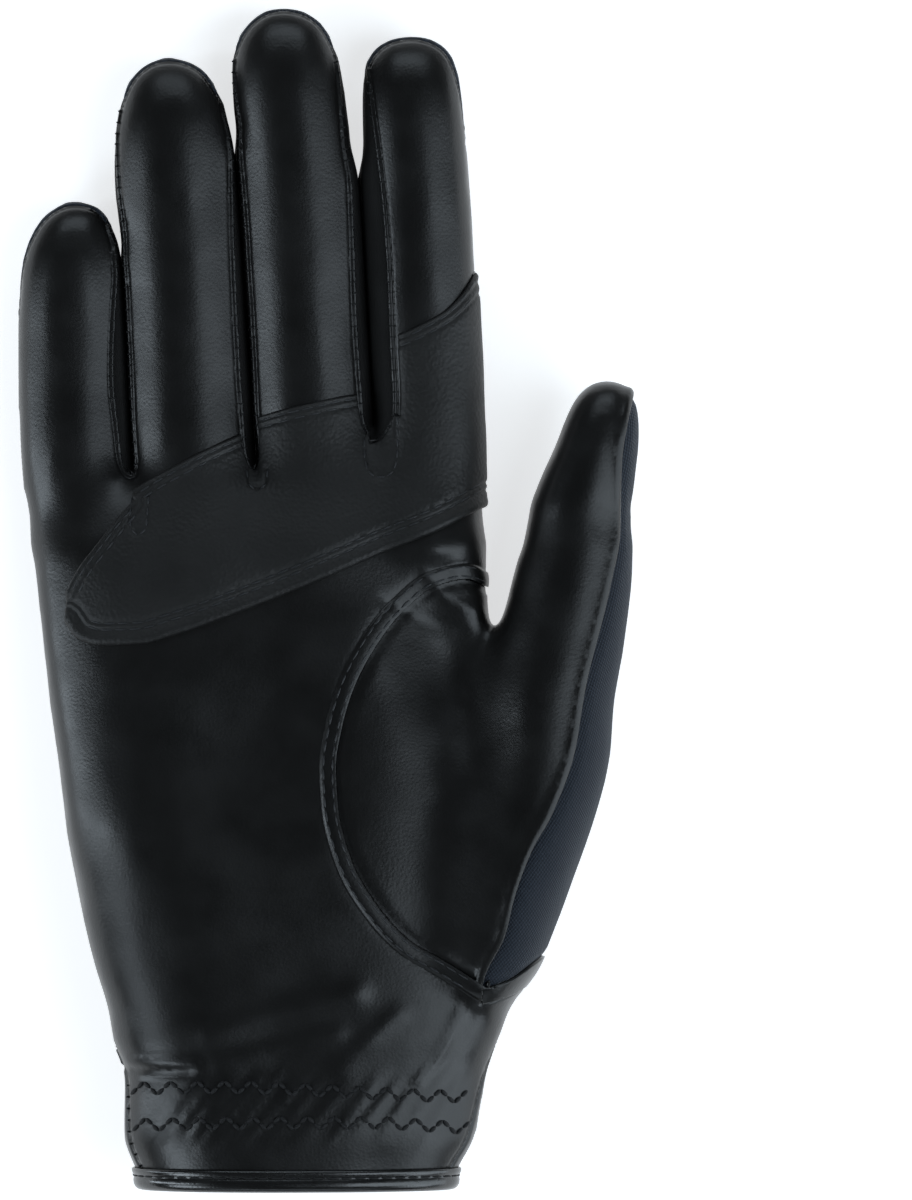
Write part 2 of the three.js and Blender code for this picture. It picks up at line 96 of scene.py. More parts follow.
def alongLine(spots, line):
    # distance to a line seen from above, and what its other columns say at the nearest point
    best = np.full(len(spots), 1e9)
    found = np.zeros((len(spots), line.shape[1] - 2))
    for a, b in zip(line[:-1], line[1:]):
        way = b[:2] - a[:2]
        t = np.clip(((spots - a[:2]) @ way) / (way @ way), 0, 1)
        away = np.hypot(*(spots - a[:2] - t[:, None] * way).T)
        closer = away < best
        best[closer] = away[closer]
        found[closer] = (a[2:] + t[:, None] * (b[2:] - a[2:]))[closer]
    return best, found


def distanceTo(spots, line):
    return alongLine(spots, line)[0]


def within(spots, outline):
    # which spots are inside a closed outline
    odd = np.zeros(len(spots), bool)
    for a, b in zip(outline, np.roll(outline, -1, 0)):
        if a[1] == b[1]:
            continue
        over = (a[1] > spots[:, 1]) != (b[1] > spots[:, 1])
        cross = a[0] + (spots[:, 1] - a[1]) * (b[0] - a[0]) / (b[1] - a[1])
        odd ^= over & (spots[:, 0] < cross)
    return odd


def signedTo(spots, outline):
    # distance to a closed outline, positive inside
    closed = np.concatenate([outline, outline[:1]])
    away = distanceTo(spots, closed)
    return np.where(within(spots, outline), away, -away)


# The hand's own sections

hand = {
    "width": 96.2,
    "length": 143,
    "depth": 34,
    "power": 2.6,
    # rounder sections at the cuff, from the first share of the length to the second
    "cuffPower": 2.05,
    "cuffZone": (0.36, 0.5),
    "crowd": 0.4,
    "rings": 70,
    "sides": 90,
    # along as a share of length, left and right of width, top and base of depth
    "rows": [
        (0.41, 0.495, 0.435, 0.3, 0.2),
        (0.406, 0.508, 0.448, 0.47, 0.05),
        (0.396, 0.515, 0.455, 0.565, -0.03),
        (0.364, 0.525, 0.462, 0.62, -0.035),
        (0.32, 0.518, 0.466, 0.665, -0.04),
        (0.262, 0.507, 0.47, 0.72, -0.044),
        (0.175, 0.492, 0.477, 0.79, -0.044),
        (0.087, 0.477, 0.488, 0.835, -0.044),
        (-0.015, 0.455, 0.498, 0.885, -0.044),
        (-0.102, 0.44, 0.507, 0.925, -0.044),
        (-0.189, 0.414, 0.518, 0.955, -0.035),
        (-0.247, 0.397, 0.525, 0.97, -0.02),
        (-0.305, 0.375, 0.523, 0.985, 0.01),
        (-0.364, 0.347, 0.515, 1.0, 0.04),
        (-0.415, 0.334, 0.488, 1.02, 0.065),
        (-0.447, 0.312, 0.472, 1.02, 0.07),
        (-0.48, 0.313, 0.464, 1.035, 0.072),
        (-0.515, 0.315, 0.455, 1.045, 0.075),
        (-0.55, 0.316, 0.445, 1.045, 0.078),
        (-0.586, 0.293, 0.412, 1.03, 0.085),
        (-0.66, 0.255, 0.375, 1.02, 0.1),
    ],
}

# The little, ring, middle and index finger: at as a share of the length, left and right of the width
fingers = [
    {
        "width": 22.1, "length": 61.2, "depth": 17.1, "lean": 0.05,
        "rows": [
            (1, 0.0, 0.08), (0.98, 0.07, 0.35), (0.945, 0.21, 0.41), (0.895, 0.31, 0.46),
            (0.81, 0.41, 0.495), (0.645, 0.48, 0.505), (0.475, 0.505, 0.5),
            (0.305, 0.53, 0.495), (0.135, 0.535, 0.5), (0, 0.515, 0.51), (-0.2, 0.4, 0.45),
        ],
    },
    {
        "width": 24.8, "length": 91.1, "depth": 19, "lean": 0.07,
        "rows": [
            (1, 0.0, 0.05), (0.99, 0.13, 0.21), (0.968, 0.25, 0.34), (0.935, 0.34, 0.41),
            (0.89, 0.405, 0.475), (0.8, 0.475, 0.51), (0.685, 0.5, 0.51), (0.55, 0.475, 0.5),
            (0.34, 0.49, 0.49), (0.14, 0.51, 0.48), (0, 0.5, 0.52), (-0.14, 0.42, 0.45),
        ],
    },
    {
        "width": 23.9, "length": 101.5, "depth": 19, "lean": 0.07,
        "rows": [
            (1, 0.02, 0.04), (0.992, 0.175, 0.19), (0.967, 0.32, 0.34), (0.934, 0.42, 0.415),
            (0.88, 0.48, 0.475), (0.8, 0.495, 0.5), (0.71, 0.475, 0.515), (0.61, 0.48, 0.52),
            (0.49, 0.49, 0.51), (0.3, 0.505, 0.49), (0.154, 0.515, 0.49), (0.08, 0.515, 0.53),
            (0, 0.51, 0.54), (-0.13, 0.43, 0.45),
        ],
    },
    {
        "width": 22.7, "length": 95.7, "depth": 19, "lean": 0.05,
        "rows": [
            (1, 0.02, 0.03), (0.991, 0.195, 0.21), (0.965, 0.355, 0.36), (0.92, 0.445, 0.43),
            (0.85, 0.475, 0.455), (0.76, 0.485, 0.47), (0.65, 0.49, 0.485), (0.52, 0.49, 0.49),
            (0.325, 0.5, 0.495), (0.163, 0.49, 0.485), (0.085, 0.55, 0.48), (0, 0.57, 0.475),
            (-0.14, 0.5, 0.4),
        ],
    },
]
fingerBuild = {
    "sag": 0.8, "gap": 0.9, "power": 2.2, "sides": 56, "rings": 64, "tipShare": 0.12,
    # the tip rounds over this many depths of its length
    "tipPower": 2.3, "tipDepths": 1.1,
    # how much deeper the root is than the finger, by height above the crotches
    "root": [(60, 0), (24, 0.15), (10, 0.9), (0, 2.0), (-12, 5.2)],
}
# Skin between the fingers: along, half sizes and height of each web
webs = [
    {"along": 48.5, "half": (4.5, 5.5, 7.5), "height": 9.0},
    {"along": 50.5, "half": (5.5, 7.3, 8.6), "height": 9.2},
    {"along": 59.5, "half": (6.5, 10.2, 8.6), "height": 9.4},
]

thumb = {
    "width": 22, "length": 127, "across": 42.9, "along": -47.8, "lean": 0.2, "power": 2.2,
    "sides": 60, "rings": 80, "tipShare": 0.08,
    # at as a share of length, left and right of width, top and base of the hand's depth
    "rows": [
        (1, 0.0, 0.1, 0.49, 0.43), (0.993, 0.07, 0.25, 0.6, 0.34),
        (0.979, 0.157, 0.353, 0.65, 0.295), (0.949, 0.226, 0.434, 0.7, 0.235),
        (0.916, 0.264, 0.49, 0.73, 0.205), (0.884, 0.3, 0.514, 0.747, 0.185),
        (0.818, 0.387, 0.547, 0.765, 0.15), (0.753, 0.406, 0.594, 0.78, 0.118),
        (0.687, 0.434, 0.689, 0.8, 0.088), (0.622, 0.453, 0.726, 0.823, 0.06),
        (0.573, 0.51, 0.745, 0.84, 0.035), (0.491, 0.65, 0.755, 0.885, 0.01),
        (0.36, 0.764, 0.83, 0.955, -0.03), (0.229, 0.755, 0.755, 1, -0.03),
        (0.164, 0.717, 0.69, 1.015, -0.023), (0.098, 0.64, 0.623, 1, 0),
        (0.033, 0.5, 0.54, 0.955, 0.024), (0, 0.37, 0.43, 0.925, 0.045),
        (-0.036, 0.19, 0.33, 0.82, 0.15),
    ],
}

# Places along: where the fingers part, the edge of the hem and the end of the skin in it
crotchLine = 55.4
hemLine = -88.9
palmEnd = -87.6
handLeft = -0.53
thinnest = 0.3
nextLeft = handLeft * hand["width"]
for finger in fingers:
    finger["x"] = nextLeft + finger["width"] / 2
    nextLeft += finger["width"] + fingerBuild["gap"]


def fingerX(finger, y):
    return finger["x"] - finger["lean"] * (y - crotchLine)


def gapX(i, y):
    # the line between finger i and the next one
    a, b = fingers[i], fingers[i + 1]
    return (fingerX(a, y) + a["width"] / 2 + fingerX(b, y) - b["width"] / 2) / 2


def columns(rows, keyed):
    # one curve for each column of a table, over keyed(first column)
    rows = np.array(rows, float)
    at = keyed(rows[:, 0])
    return [smoothCurve(at, rows[:, k]) for k in range(1, rows.shape[1])]


def loft(section, rings, sides, crowd=0.0):
    # a closed tube: a cylinder cut into rings, each moved to its section
    bm = bmesh.new()
    bmesh.ops.create_cone(
        bm, cap_ends=True, cap_tris=False, segments=sides, radius1=1, radius2=1, depth=1
    )
    long = [e for e in bm.edges if abs(e.verts[0].co.z - e.verts[1].co.z) > 0.5]
    bmesh.ops.subdivide_edges(bm, edges=long, cuts=rings - 2, use_grid_fill=True)
    for v in bm.verts:
        s = section[round((0.5 - v.co.z) * (rings - 1))]
        turn = math.atan2(v.co.y, v.co.x)
        turn += crowd * math.cos(turn)
        bend = 2 / s["power"]
        side = math.copysign(abs(math.cos(turn)) ** bend, math.cos(turn))
        up = math.copysign(abs(math.sin(turn)) ** bend, math.sin(turn))
        reach = s["left"] if side < 0 else s["right"]
        v.co = (s["x"] + side * reach, s["y"], s["z"] + up * s["half"])
    bmesh.ops.recalc_face_normals(bm, faces=bm.faces)
    return bm


def handSections():
    left, right, top, base = columns(hand["rows"], lambda a: a)
    found = []
    for along in np.linspace(hand["rows"][0][0], hand["rows"][-1][0], hand["rings"]):
        high, low = float(top(along)), float(base(along))
        cuff = float(smoothStep(-along, *hand["cuffZone"]))
        found.append({
            "x": 0, "y": along * hand["length"], "z": (high + low) / 2 * hand["depth"],
            "left": float(left(along)) * hand["width"],
            "right": float(right(along)) * hand["width"],
            "half": (high - low) / 2 * hand["depth"],
            "power": hand["power"] + cuff * (hand["cuffPower"] - hand["power"]),
        })
    return found


def limbPlaces(last, rings, tipShare):
    # places along a limb, crowded at the tip
    tip = 1 - np.linspace(0, math.sqrt(tipShare), rings // 3) ** 2
    rest = np.linspace(1 - tipShare, last, rings - rings // 3 + 1)[1:]
    return np.concatenate([tip, rest])


def fingerSections(finger):
    keyed = lambda at: np.sqrt(np.maximum(0, 1 - at))
    left, right = columns(finger["rows"], keyed)
    root = smoothCurve(*zip(*fingerBuild["root"]))
    found = []
    for at in limbPlaces(finger["rows"][-1][0], fingerBuild["rings"], fingerBuild["tipShare"]):
        back = (1 - at) * finger["length"] / (fingerBuild["tipDepths"] * finger["depth"])
        power = fingerBuild["tipPower"]
        keep = (1 - max(0, 1 - back) ** power) ** (1 / power)
        y = crotchLine + at * finger["length"]
        l, r = float(left(keyed(at))), float(right(keyed(at)))
        wide = max(thinnest, (l + r) / 2 * finger["width"])
        deeper = float(root(y - crotchLine)) / 2
        found.append({
            "x": fingerX(finger, y) + (r - l) / 2 * finger["width"], "y": y,
            "z": finger["depth"] / 2 - fingerBuild["sag"] + deeper,
            "left": wide, "right": wide,
            "half": max(thinnest, keep * finger["depth"] / 2) + deeper,
            "power": fingerBuild["power"],
        })
    return found


def thumbSections():
    keyed = lambda at: np.sqrt(np.maximum(0, 1 - at))
    left, right, top, base = columns(thumb["rows"], keyed)
    found = []
    for at in limbPlaces(thumb["rows"][-1][0], thumb["rings"], thumb["tipShare"]):
        q = keyed(at)
        l, r = float(left(q)) * thumb["width"], float(right(q)) * thumb["width"]
        high, low = float(top(q)) * hand["depth"], float(base(q)) * hand["depth"]
        wide = max(thinnest, (l + r) / 2)
        found.append({
            "x": thumb["across"] + thumb["lean"] * at * thumb["length"] + (r - l) / 2,
            "y": thumb["along"] + at * thumb["length"], "z": (high + low) / 2,
            "left": wide, "right": wide,
            "half": max(thinnest, (high - low) / 2), "power": thumb["power"],
        })
    return found


# The fingers stand apart while the forms grow together, and are set back afterwards
spread = {"apart": 5.0, "zone": 1.2, "from": -12, "to": -1}
voxel = 1.2


def spreadFingers(points, sign):
    ramp = smoothStep(points[:, 1], crotchLine + spread["from"], crotchLine + spread["to"])
    move = np.zeros(len(points))
    for i in range(3):
        centre = gapX(i, points[:, 1])
        half = spread["zone"]
        if sign < 0:
            centre = centre + ramp * spread["apart"] * (i - 1)
            half = half + ramp * spread["apart"] / 2
        move += np.clip((points[:, 0] - centre) / (2 * half) + 0.5, 0, 1) - 0.5
    points = points.copy()
    points[:, 0] += sign * ramp * spread["apart"] * move
    return points


def readPoints(bm):
    return np.array([v.co[:] for v in bm.verts])


def readNormals(bm):
    bm.normal_update()
    return np.array([v.normal[:] for v in bm.verts])


def writePoints(bm, points):
    for v, p in zip(bm.verts, points):
        v.co = p
    bm.normal_update()


def newObject(bm, name):
    mesh = bpy.data.meshes.new(name)
    bm.to_mesh(mesh)
    obj = bpy.data.objects.new(name, mesh)
    bpy.context.scene.collection.objects.link(obj)
    return obj


def grownTogether(forms):
    # the forms as one skin
    whole = bmesh.new()
    for bm in forms:
        writePoints(bm, spreadFingers(readPoints(bm), 1))
        mesh = bpy.data.meshes.new("part")
        bm.to_mesh(mesh)
        whole.from_mesh(mesh)
        bpy.data.meshes.remove(mesh)
        bm.free()
    obj = newObject(whole, "form")
    whole.free()
    skin = obj.modifiers.new("skin", "REMESH")
    skin.mode = "VOXEL"
    skin.voxel_size = voxel
    skin.adaptivity = 0
    graph = bpy.context.evaluated_depsgraph_get()
    mesh = bpy.data.meshes.new_from_object(obj.evaluated_get(graph))
    bm = bmesh.new()
    bm.from_mesh(mesh)
    bpy.data.objects.remove(obj)
    bpy.data.meshes.remove(mesh)
    return bm


def relax(bm, times, weights=0.5):
    # moves each point towards the middle of its neighbours, as far as its weight says
    bm.verts.index_update()
    points = readPoints(bm)
    ends = np.array([(e.verts[0].index, e.verts[1].index) for e in bm.edges])
    here = np.concatenate([ends[:, 0], ends[:, 1]])
    there = np.concatenate([ends[:, 1], ends[:, 0]])
    count = np.bincount(here, minlength=len(points))
    share = np.broadcast_to(weights, len(points))
    for _ in range(times):
        for k in range(3):
            middle = np.bincount(here, points[there, k], len(points)) / count
            points[:, k] += share * (middle - points[:, k])
    writePoints(bm, points)


forms = [loft(handSections(), hand["rings"], hand["sides"], hand["crowd"])]
forms.append(loft(thumbSections(), thumb["rings"], thumb["sides"]))
for finger in fingers:
    forms.append(loft(fingerSections(finger), fingerBuild["rings"], fingerBuild["sides"]))
for i, web in enumerate(webs):
    bm = bmesh.new()
    bmesh.ops.create_uvsphere(bm, u_segments=32, v_segments=20, radius=1)
    bmesh.ops.scale(bm, verts=bm.verts[:], vec=web["half"])
    middle = (float(gapX(i, web["along"])), web["along"], web["height"])
    bmesh.ops.translate(bm, verts=bm.verts[:], vec=middle)
    forms.append(bm)
body = grownTogether(forms)
relax(body, 8)
writePoints(body, spreadFingers(readPoints(body), -1))
relax(body, 2)

# Up to these places along, and between these heights, two fingers lie against each other
# The slit between them steps aside halfway up, so that nothing shines through it
touching = {
    "tops": [112, 134, 129], "fade": 9, "gap": 0.15, "low": (0.5, 3.0), "high": (11.0, 16.0),
    "step": 1.0, "bend": (5.0, 8.5), "start": -8, "reach": (2.4, 5.0),
}


def closeGaps(points):
    points = points.copy()
    x, y, z = points.T
    level = smoothStep(z, *touching["low"]) * (1 - smoothStep(z, *touching["high"]))
    aside = touching["step"] * (smoothStep(z, *touching["bend"]) - 0.5)
    for i, top in enumerate(touching["tops"]):
        centre = gapX(i, y) + aside
        away = np.abs(x - centre)
        share = level * smoothStep(y, crotchLine + touching["start"], crotchLine)
        share = share * (1 - smoothStep(y, top - touching["fade"], top))
        share = share * (1 - smoothStep(away, *touching["reach"]))
        nearer = touching["gap"] + (away - touching["gap"]) * (1 - share)
        here = (away > touching["gap"]) & (away < touching["reach"][1])
        points[:, 0] = np.where(here, centre + np.sign(x - centre) * nearer, points[:, 0])
    return points


writePoints(body, closeGaps(readPoints(body)))

# Where two forms meet on the palm side the skin runs over them softly: across, along, reach
softPlaces = [
    (40, 18, 9), (42, 8, 9), (43, -4, 9), (42, -16, 9), (40, -28, 9), (42, -38, 7),
    (-28, 53, 8), (-15, 55, 9), (-2, 55, 8), (10, 57, 9), (22, 60, 8), (33, 57, 10),
    (-40, 52, 9), (42, 55, 8),
]
softTimes = 150
points = readPoints(body)
soft = np.zeros(len(points))
for across, along, reach in softPlaces:
    away = np.hypot(points[:, 0] - across, points[:, 1] - along)
    soft = np.maximum(soft, np.exp(-((away / reach) ** 2)))
soft *= smoothStep(readNormals(body)[:, 2], 0.0, 0.5)
relax(body, softTimes, 0.5 * soft)
report(f"one skin of {len(body.faces)} faces")

# Swellings and hollows: across, along, spread, rise
palmMounds = [
    (-28.9, -14.3, 22.9, 1.9), (-2.9, 2.9, 18.6, -2.7), (-34.6, 38.6, 9.3, 1.2),
    (-11.5, 42.9, 8.6, 1.2), (11.5, 44.3, 8.6, 1.2), (32.7, 47.2, 9.3, 1.2),
    (1.9, -60.1, 14.3, -1.5), (45, 30, 6, 1.8), (44, 45, 6, 1.4),
]
# The valley between the palm and the thumb: across, along, depth, half width
thumbValley = [
    (27, 36, 0.6, 6), (33, 27, 3.2, 8), (37, 18, 3.4, 9), (42, 7, 2.8, 9), (45, -4, 1.8, 10),
    (44, -18, 1.2, 10), (38, -31, 0.6, 8),
]


def palmRelief(x, y):
    rise = np.zeros(len(x))
    for across, along, reach, height in palmMounds:
        rise += height * np.exp(-((x - across) ** 2 + (y - along) ** 2) / reach**2)
    away, found = alongLine(np.stack([x, y], 1), smoothLine(thumbValley, 2.0))
    return rise - found[:, 0] * np.exp(-((away / found[:, 1]) ** 2))


floorSoftness = 0.5


def restOnFloor(z):
    # flattened where it lies, without an edge
    return 0.5 * (z + np.sqrt(z * z + floorSoftness))


points = readPoints(body)
facing = smoothStep(readNormals(body)[:, 2], 0.0, 0.6)
points[:, 2] += facing * palmRelief(points[:, 0], points[:, 1])
points[:, 2] = restOnFloor(points[:, 2])
writePoints(body, points)
relax(body, 2)
report("relief")

# Height of the seam round the side of the glove, by place along it
seamRows = [
    (171.6, 7.5), (57.2, 7.8), (14.3, 11.2), (-28.6, 13.6),
    (-55, 15.6), (-61.5, 19.7), (-68.6, 22.4), (-100, 25.2),
]
sideSeam = smoothCurve(*zip(*seamRows))
# At a fingertip the seam climbs to this share of the depth, between these distances from the end
tipSeam = {"share": 0.62, "low": 7.6, "from": 26, "to": 6}
# Beside the thumb it runs at this height
thumbSeam = {"height": 12.2, "across": (44.3, 53.9), "along": (-14.3, 21.5)}


def seamHeight(x, y):
    height = sideSeam(y)
    for i, finger in enumerate(fingers):
        low = gapX(i - 1, y) if i else -200
        high = gapX(i, y) if i < 3 else 58
        tip = crotchLine + finger["length"]
        climb = smoothStep(y, tip - tipSeam["from"], tip - tipSeam["to"])
        climb = climb * (finger["depth"] * tipSeam["share"] - tipSeam["low"])
        height = height + np.where((x > low) & (x <= high), climb, 0)
    near = smoothStep(x, *thumbSeam["across"]) * smoothStep(y, *thumbSeam["along"]) * (x > 50)
    return height + (thumbSeam["height"] - height) * near


archLine = smoothLine([
    (47.1, 35.0), (40.5, 37.6), (34.5, 36.2), (27.7, 30.9), (21.6, 22.9), (17.4, 14.6),
    (15.0, 6.3), (13.9, -1.0), (14.3, -9.0), (17.0, -20.0), (22.9, -30.3), (29.7, -37.4),
    (35.6, -40.8), (40.6, -43.8), (44.9, -46.6),
])
thumbOutline = np.concatenate([
    archLine, [(50, -46.5), (57.7, -41.5), (96, -28), (96, 200), (47.1, 200)],
])
clothLine = smoothLine([
    (78.0, 84.4), (75.8, 78.7), (74.9, 74.2), (73.9, 69.4), (72.9, 62.9), (72.6, 56.4),
    (72.4, 47.0), (70.7, 37.4), (68.6, 28.3), (65.5, 16.2), (62.9, 1.4), (58.2, -11.4),
    (54.4, -18.3), (51.0, -27.2), (48.6, -36.4), (44.6, -44.6), (43.3, -51.5),
])
clothOutline = np.concatenate([clothLine, [(200, -200), (200, 200), (70.5, 200)]])
cuffLine = smoothLine([
    (72.2, -34.3), (57.7, -41.8), (50.0, -46.8), (45.2, -48.3), (34.6, -51.1),
    (5.8, -57.2), (-29.8, -61.2), (-48.1, -62.3),
])
cuffOutline = np.concatenate([cuffLine, [(-200, -62.3), (-200, -200), (200, -200), (200, -34.3)]])
backThumbLine = smoothLine([
    (47.1, 42.9), (47.1, 22.9), (41.4, 2.9), (39.4, -20.0), (42.3, -42.9), (44.3, -60.1),
])
backThumbOutline = np.concatenate([backThumbLine, [(200, -60.1), (200, 200), (47.1, 200)]])
# The folded edge of the back cuff, which comes round to this place across on the front
bandHalf = 1.45
bandFront = 44.1
# The strips between the fingers: where each starts, its low edge, and its high edge on either side
strips = {
    "feet": [51.5, 55.0, 66.5], "low": 4.0, "left": [14, 14, 14], "right": [13.2, 13.6, 16.4],
    "end": 0.93, "footBend": 0.24,
}


def sideField(p):
    return p[:, 2] - seamHeight(p[:, 0], p[:, 1])


def outlineField(outline):
    return lambda p: signedTo(p[:, :2], outline)


archField = outlineField(thumbOutline)
clothField = outlineField(clothOutline)
cuffField = outlineField(cuffOutline)
backThumbField = outlineField(backThumbOutline)


def stripField(p):
    # above zero on the strips between the fingers
    best = np.full(len(p), -9.0)
    for i, foot in enumerate(strips["feet"]):
        centre = gapX(i, p[:, 1])
        for finger, high, side in ((fingers[i], "left", -1), (fingers[i + 1], "right", 1)):
            top = crotchLine + strips["end"] * finger["length"]
            share = np.clip((p[:, 1] - foot) / (top - foot), 0, 1)
            taper = np.sqrt(1 - share**5)
            mid = (strips[high][i] + strips["low"]) / 2
            half = (strips[high][i] - strips["low"]) / 2 * taper
            out = (p[:, 0] - centre) * side
            bend = strips["footBend"] * np.clip(out, 0, 5) ** 2
            ends = np.minimum(p[:, 1] - foot - bend, top - p[:, 1])
            inField = np.minimum(half - np.abs(p[:, 2] - mid), ends)
            beside = np.minimum(5 * out + 3, finger["width"] / 2 + 1 - out)
            best = np.maximum(best, np.minimum(inField, beside))
    return best


def everywhere(p):
    return np.full(len(p), True)


def betweenFingers(p):
    return p[:, 1] > crotchLine - 8


def onFront(p):
    return sideField(p) > -1.5


def onBack(p):
    return sideField(p) < 1.5


def onBand(p):
    return onBack(p) | (p[:, 0] > 42)


# name of the cut, its field and where it applies
cuts = [
    ("side", sideField, everywhere),
    ("strip", stripField, betweenFingers),
    ("arch", archField, onFront),
    ("cloth", clothField, onFront),
    ("bandUp", lambda p: cuffField(p) + bandHalf, onBand),
    ("bandDown", lambda p: cuffField(p) - bandHalf, onBand),
    ("backThumb", backThumbField, onBack),
]
# a vertex carries one bit for each cut that it lies on
tagOf = {cut[0]: 2**i for i, cut in enumerate(cuts)}
fineCuts = ("arch", "cloth", "strip")
archStitches = 3.1


def refine(bm, near, reach):
    # halves the mesh where near(points) is under reach
    close = near(readPoints(bm)) < reach
    bm.verts.index_update()
    edges = [e for e in bm.edges if close[e.verts[0].index] and close[e.verts[1].index]]
    bmesh.ops.subdivide_edges(bm, edges=edges, cuts=1, use_grid_fill=True)


def nearSeams(p):
    best = np.full(len(p), 9.0)
    for name, field, where in cuts:
        best = np.where(where(p), np.minimum(best, np.abs(field(p))), best)
    return best


def nearFineSeams(p):
    # the seams with a lip, and the dip beside the arch
    best = np.full(len(p), 9.0)
    for name, field, where in cuts:
        if name in fineCuts:
            away = np.abs(field(p))
            if name == "arch":
                away = np.minimum(away, 0.8 * np.abs(field(p) + archStitches))
            best = np.where(where(p), np.minimum(best, away), best)
    return best


def nearArch(p):
    field = archField(p)
    return np.where(sideField(p) > 0, np.where(field < 0, -field, 9), 9)


snapShare = 0.12


def cutAlong(bm, field, tag, where, tags):
    # new edges along the line where a field is zero, or a near vertex moved onto it
    bm.verts.index_update()
    points = readPoints(bm)
    values = field(points)
    used = where(points)
    values[np.abs(values) < 1e-6] = 1e-6
    moved = {}
    crossing = []
    for e in bm.edges:
        a, b = e.verts
        i, j = a.index, b.index
        if values[i] * values[j] < 0 and (used[i] or used[j]):
            crossing.append(e)
            t = values[i] / (values[i] - values[j])
            if t < snapShare:
                moved[a] = a.co.lerp(b.co, t)
            elif t > 1 - snapShare:
                moved[b] = a.co.lerp(b.co, t)
    for v, place in moved.items():
        v.co = place
    made = list(moved)
    for e in crossing:
        a, b = e.verts
        if a in moved or b in moved:
            continue
        t = values[a.index] / (values[a.index] - values[b.index])
        made.append(bmesh.utils.edge_split(e, a, t)[1])
    for v in made:
        v[tags] = v[tags] | tag
    bmesh.ops.connect_verts(bm, verts=made)


def facePoints(bm):
    return np.array([f.calc_center_median()[:] for f in bm.faces])


def regionsOf(p):
    # the number of the piece that each place belongs to, as regionNames counts them
    side = sideField(p) > 0
    cuff = cuffField(p)
    band = (np.abs(cuff) < bandHalf) & (~side | (p[:, 0] > bandFront))
    arch = archField(p) > 0
    cloth = clothField(p) > 0
    strip = stripField(p) > 0
    back = np.where(backThumbField(p) > 0, 3, 1)
    found = np.where(side, np.where(arch, np.where(cloth, 3, 2), 0), back)
    found = np.where(~side & (cuff > 0), 4, found)
    found = np.where(band, 5, found)
    gap = np.stack([np.abs(p[:, 0] - gapX(i, p[:, 1])) for i in range(3)]).argmin(0)
    return np.where(strip, 6 + gap, found)


regionNames = [
    "palm", "back", "thumbFront", "thumbBack", "cuffBack", "cuffBand", "strip0", "strip1", "strip2",
]


# Gathers under the elastic: across, height, sideways lean per upward, half width
cuffGathers = [
    (-19.5, 0.16, 0.6, 1.1), (-15.1, 0.26, 0.8, 1.0), (-11.6, 0.36, 0.65, 1.2), (-7.0, 0.42, 0.85, 1.2),
    (-3.1, 0.36, 0.7, 1.1), (1.4, 0.3, 0.95, 1.3), (5.9, 0.16, 0.8, 1.5), (12.0, 0.12, 0.85, 1.6),
    (18.1, 0.26, 0.7, 1.3), (22.4, 0.36, 0.85, 1.1), (27.3, 0.4, 0.6, 1.2), (31.4, 0.3, 0.75, 1.1),
    (36.0, 0.2, 0.6, 1.1),
]
gatherRange = {"middle": -71.5, "half": 9.5}
# Soft folds: points of their line, height and half width
softFolds = [
    ([(-12, -56.5), (-2, -53.2), (9, -50.6), (18, -48)], 0.55, 2.6),
    ([(-10, -62.5), (2, -59.5), (14, -56.2)], 0.5, 2.2),
    ([(15, -63), (20, -58.5), (27, -52)], 0.35, 2.0),
    ([(31, -66), (35.5, -60), (39.5, -52)], 0.45, 1.3),
    ([(-30.5, -62.2), (-24, -62.0), (-15, -62.2)], 0.55, 1.1),
    ([(-29.5, -64.4), (-22.9, -64.5), (-15.6, -64.1)], -0.5, 0.45),
    ([(24, 33.5), (33, 29), (40, 27)], -0.25, 1.6),
    ([(33, 38.5), (38, 33), (43, 31)], 0.3, 1.5),
]
# Faint waves all over: how fast each runs, its way and its start
waveHeight = 0.011
waves = [
    (random.uniform(0.1, 0.45), random.uniform(0, math.tau), random.uniform(0, math.tau))
    for _ in range(14)
]


def fineRelief(points, normals):
    # how far each point moves out along its normal
    x, y = points[:, 0], points[:, 1]
    up = smoothStep(normals[:, 2], 0.1, 0.6)
    rise = np.zeros(len(points))
    for rate, way, start in waves:
        along = x * math.cos(way) + y * math.sin(way) + 0.7 * points[:, 2]
        rise += waveHeight * np.sin(rate * along * 1.4 + start)
    reach = np.clip(1 - ((y - gatherRange["middle"]) / gatherRange["half"]) ** 2, 0, 1)
    for across, height, lean, half in cuffGathers:
        line = across + lean * (y - gatherRange["middle"])
        rise += up * height * reach * np.exp(-(((x - line) / half) ** 2))
    spots = points[:, :2]
    for line, height, half in softFolds:
        away = distanceTo(spots, smoothLine(line))
        rise += up * height * np.exp(-((away / half) ** 2))
    return rise


def addRelief(bm, relief):
    normals = readNormals(bm)
    points = readPoints(bm)
    writePoints(bm, points + normals * relief(points, normals)[:, None])


# The mesh is halved this near to what needs it
reaches = {"seams": 1.9, "insideArch": 3, "fineSeams": 0.85, "patchEdge": 5.6, "patchRows": 0.7}

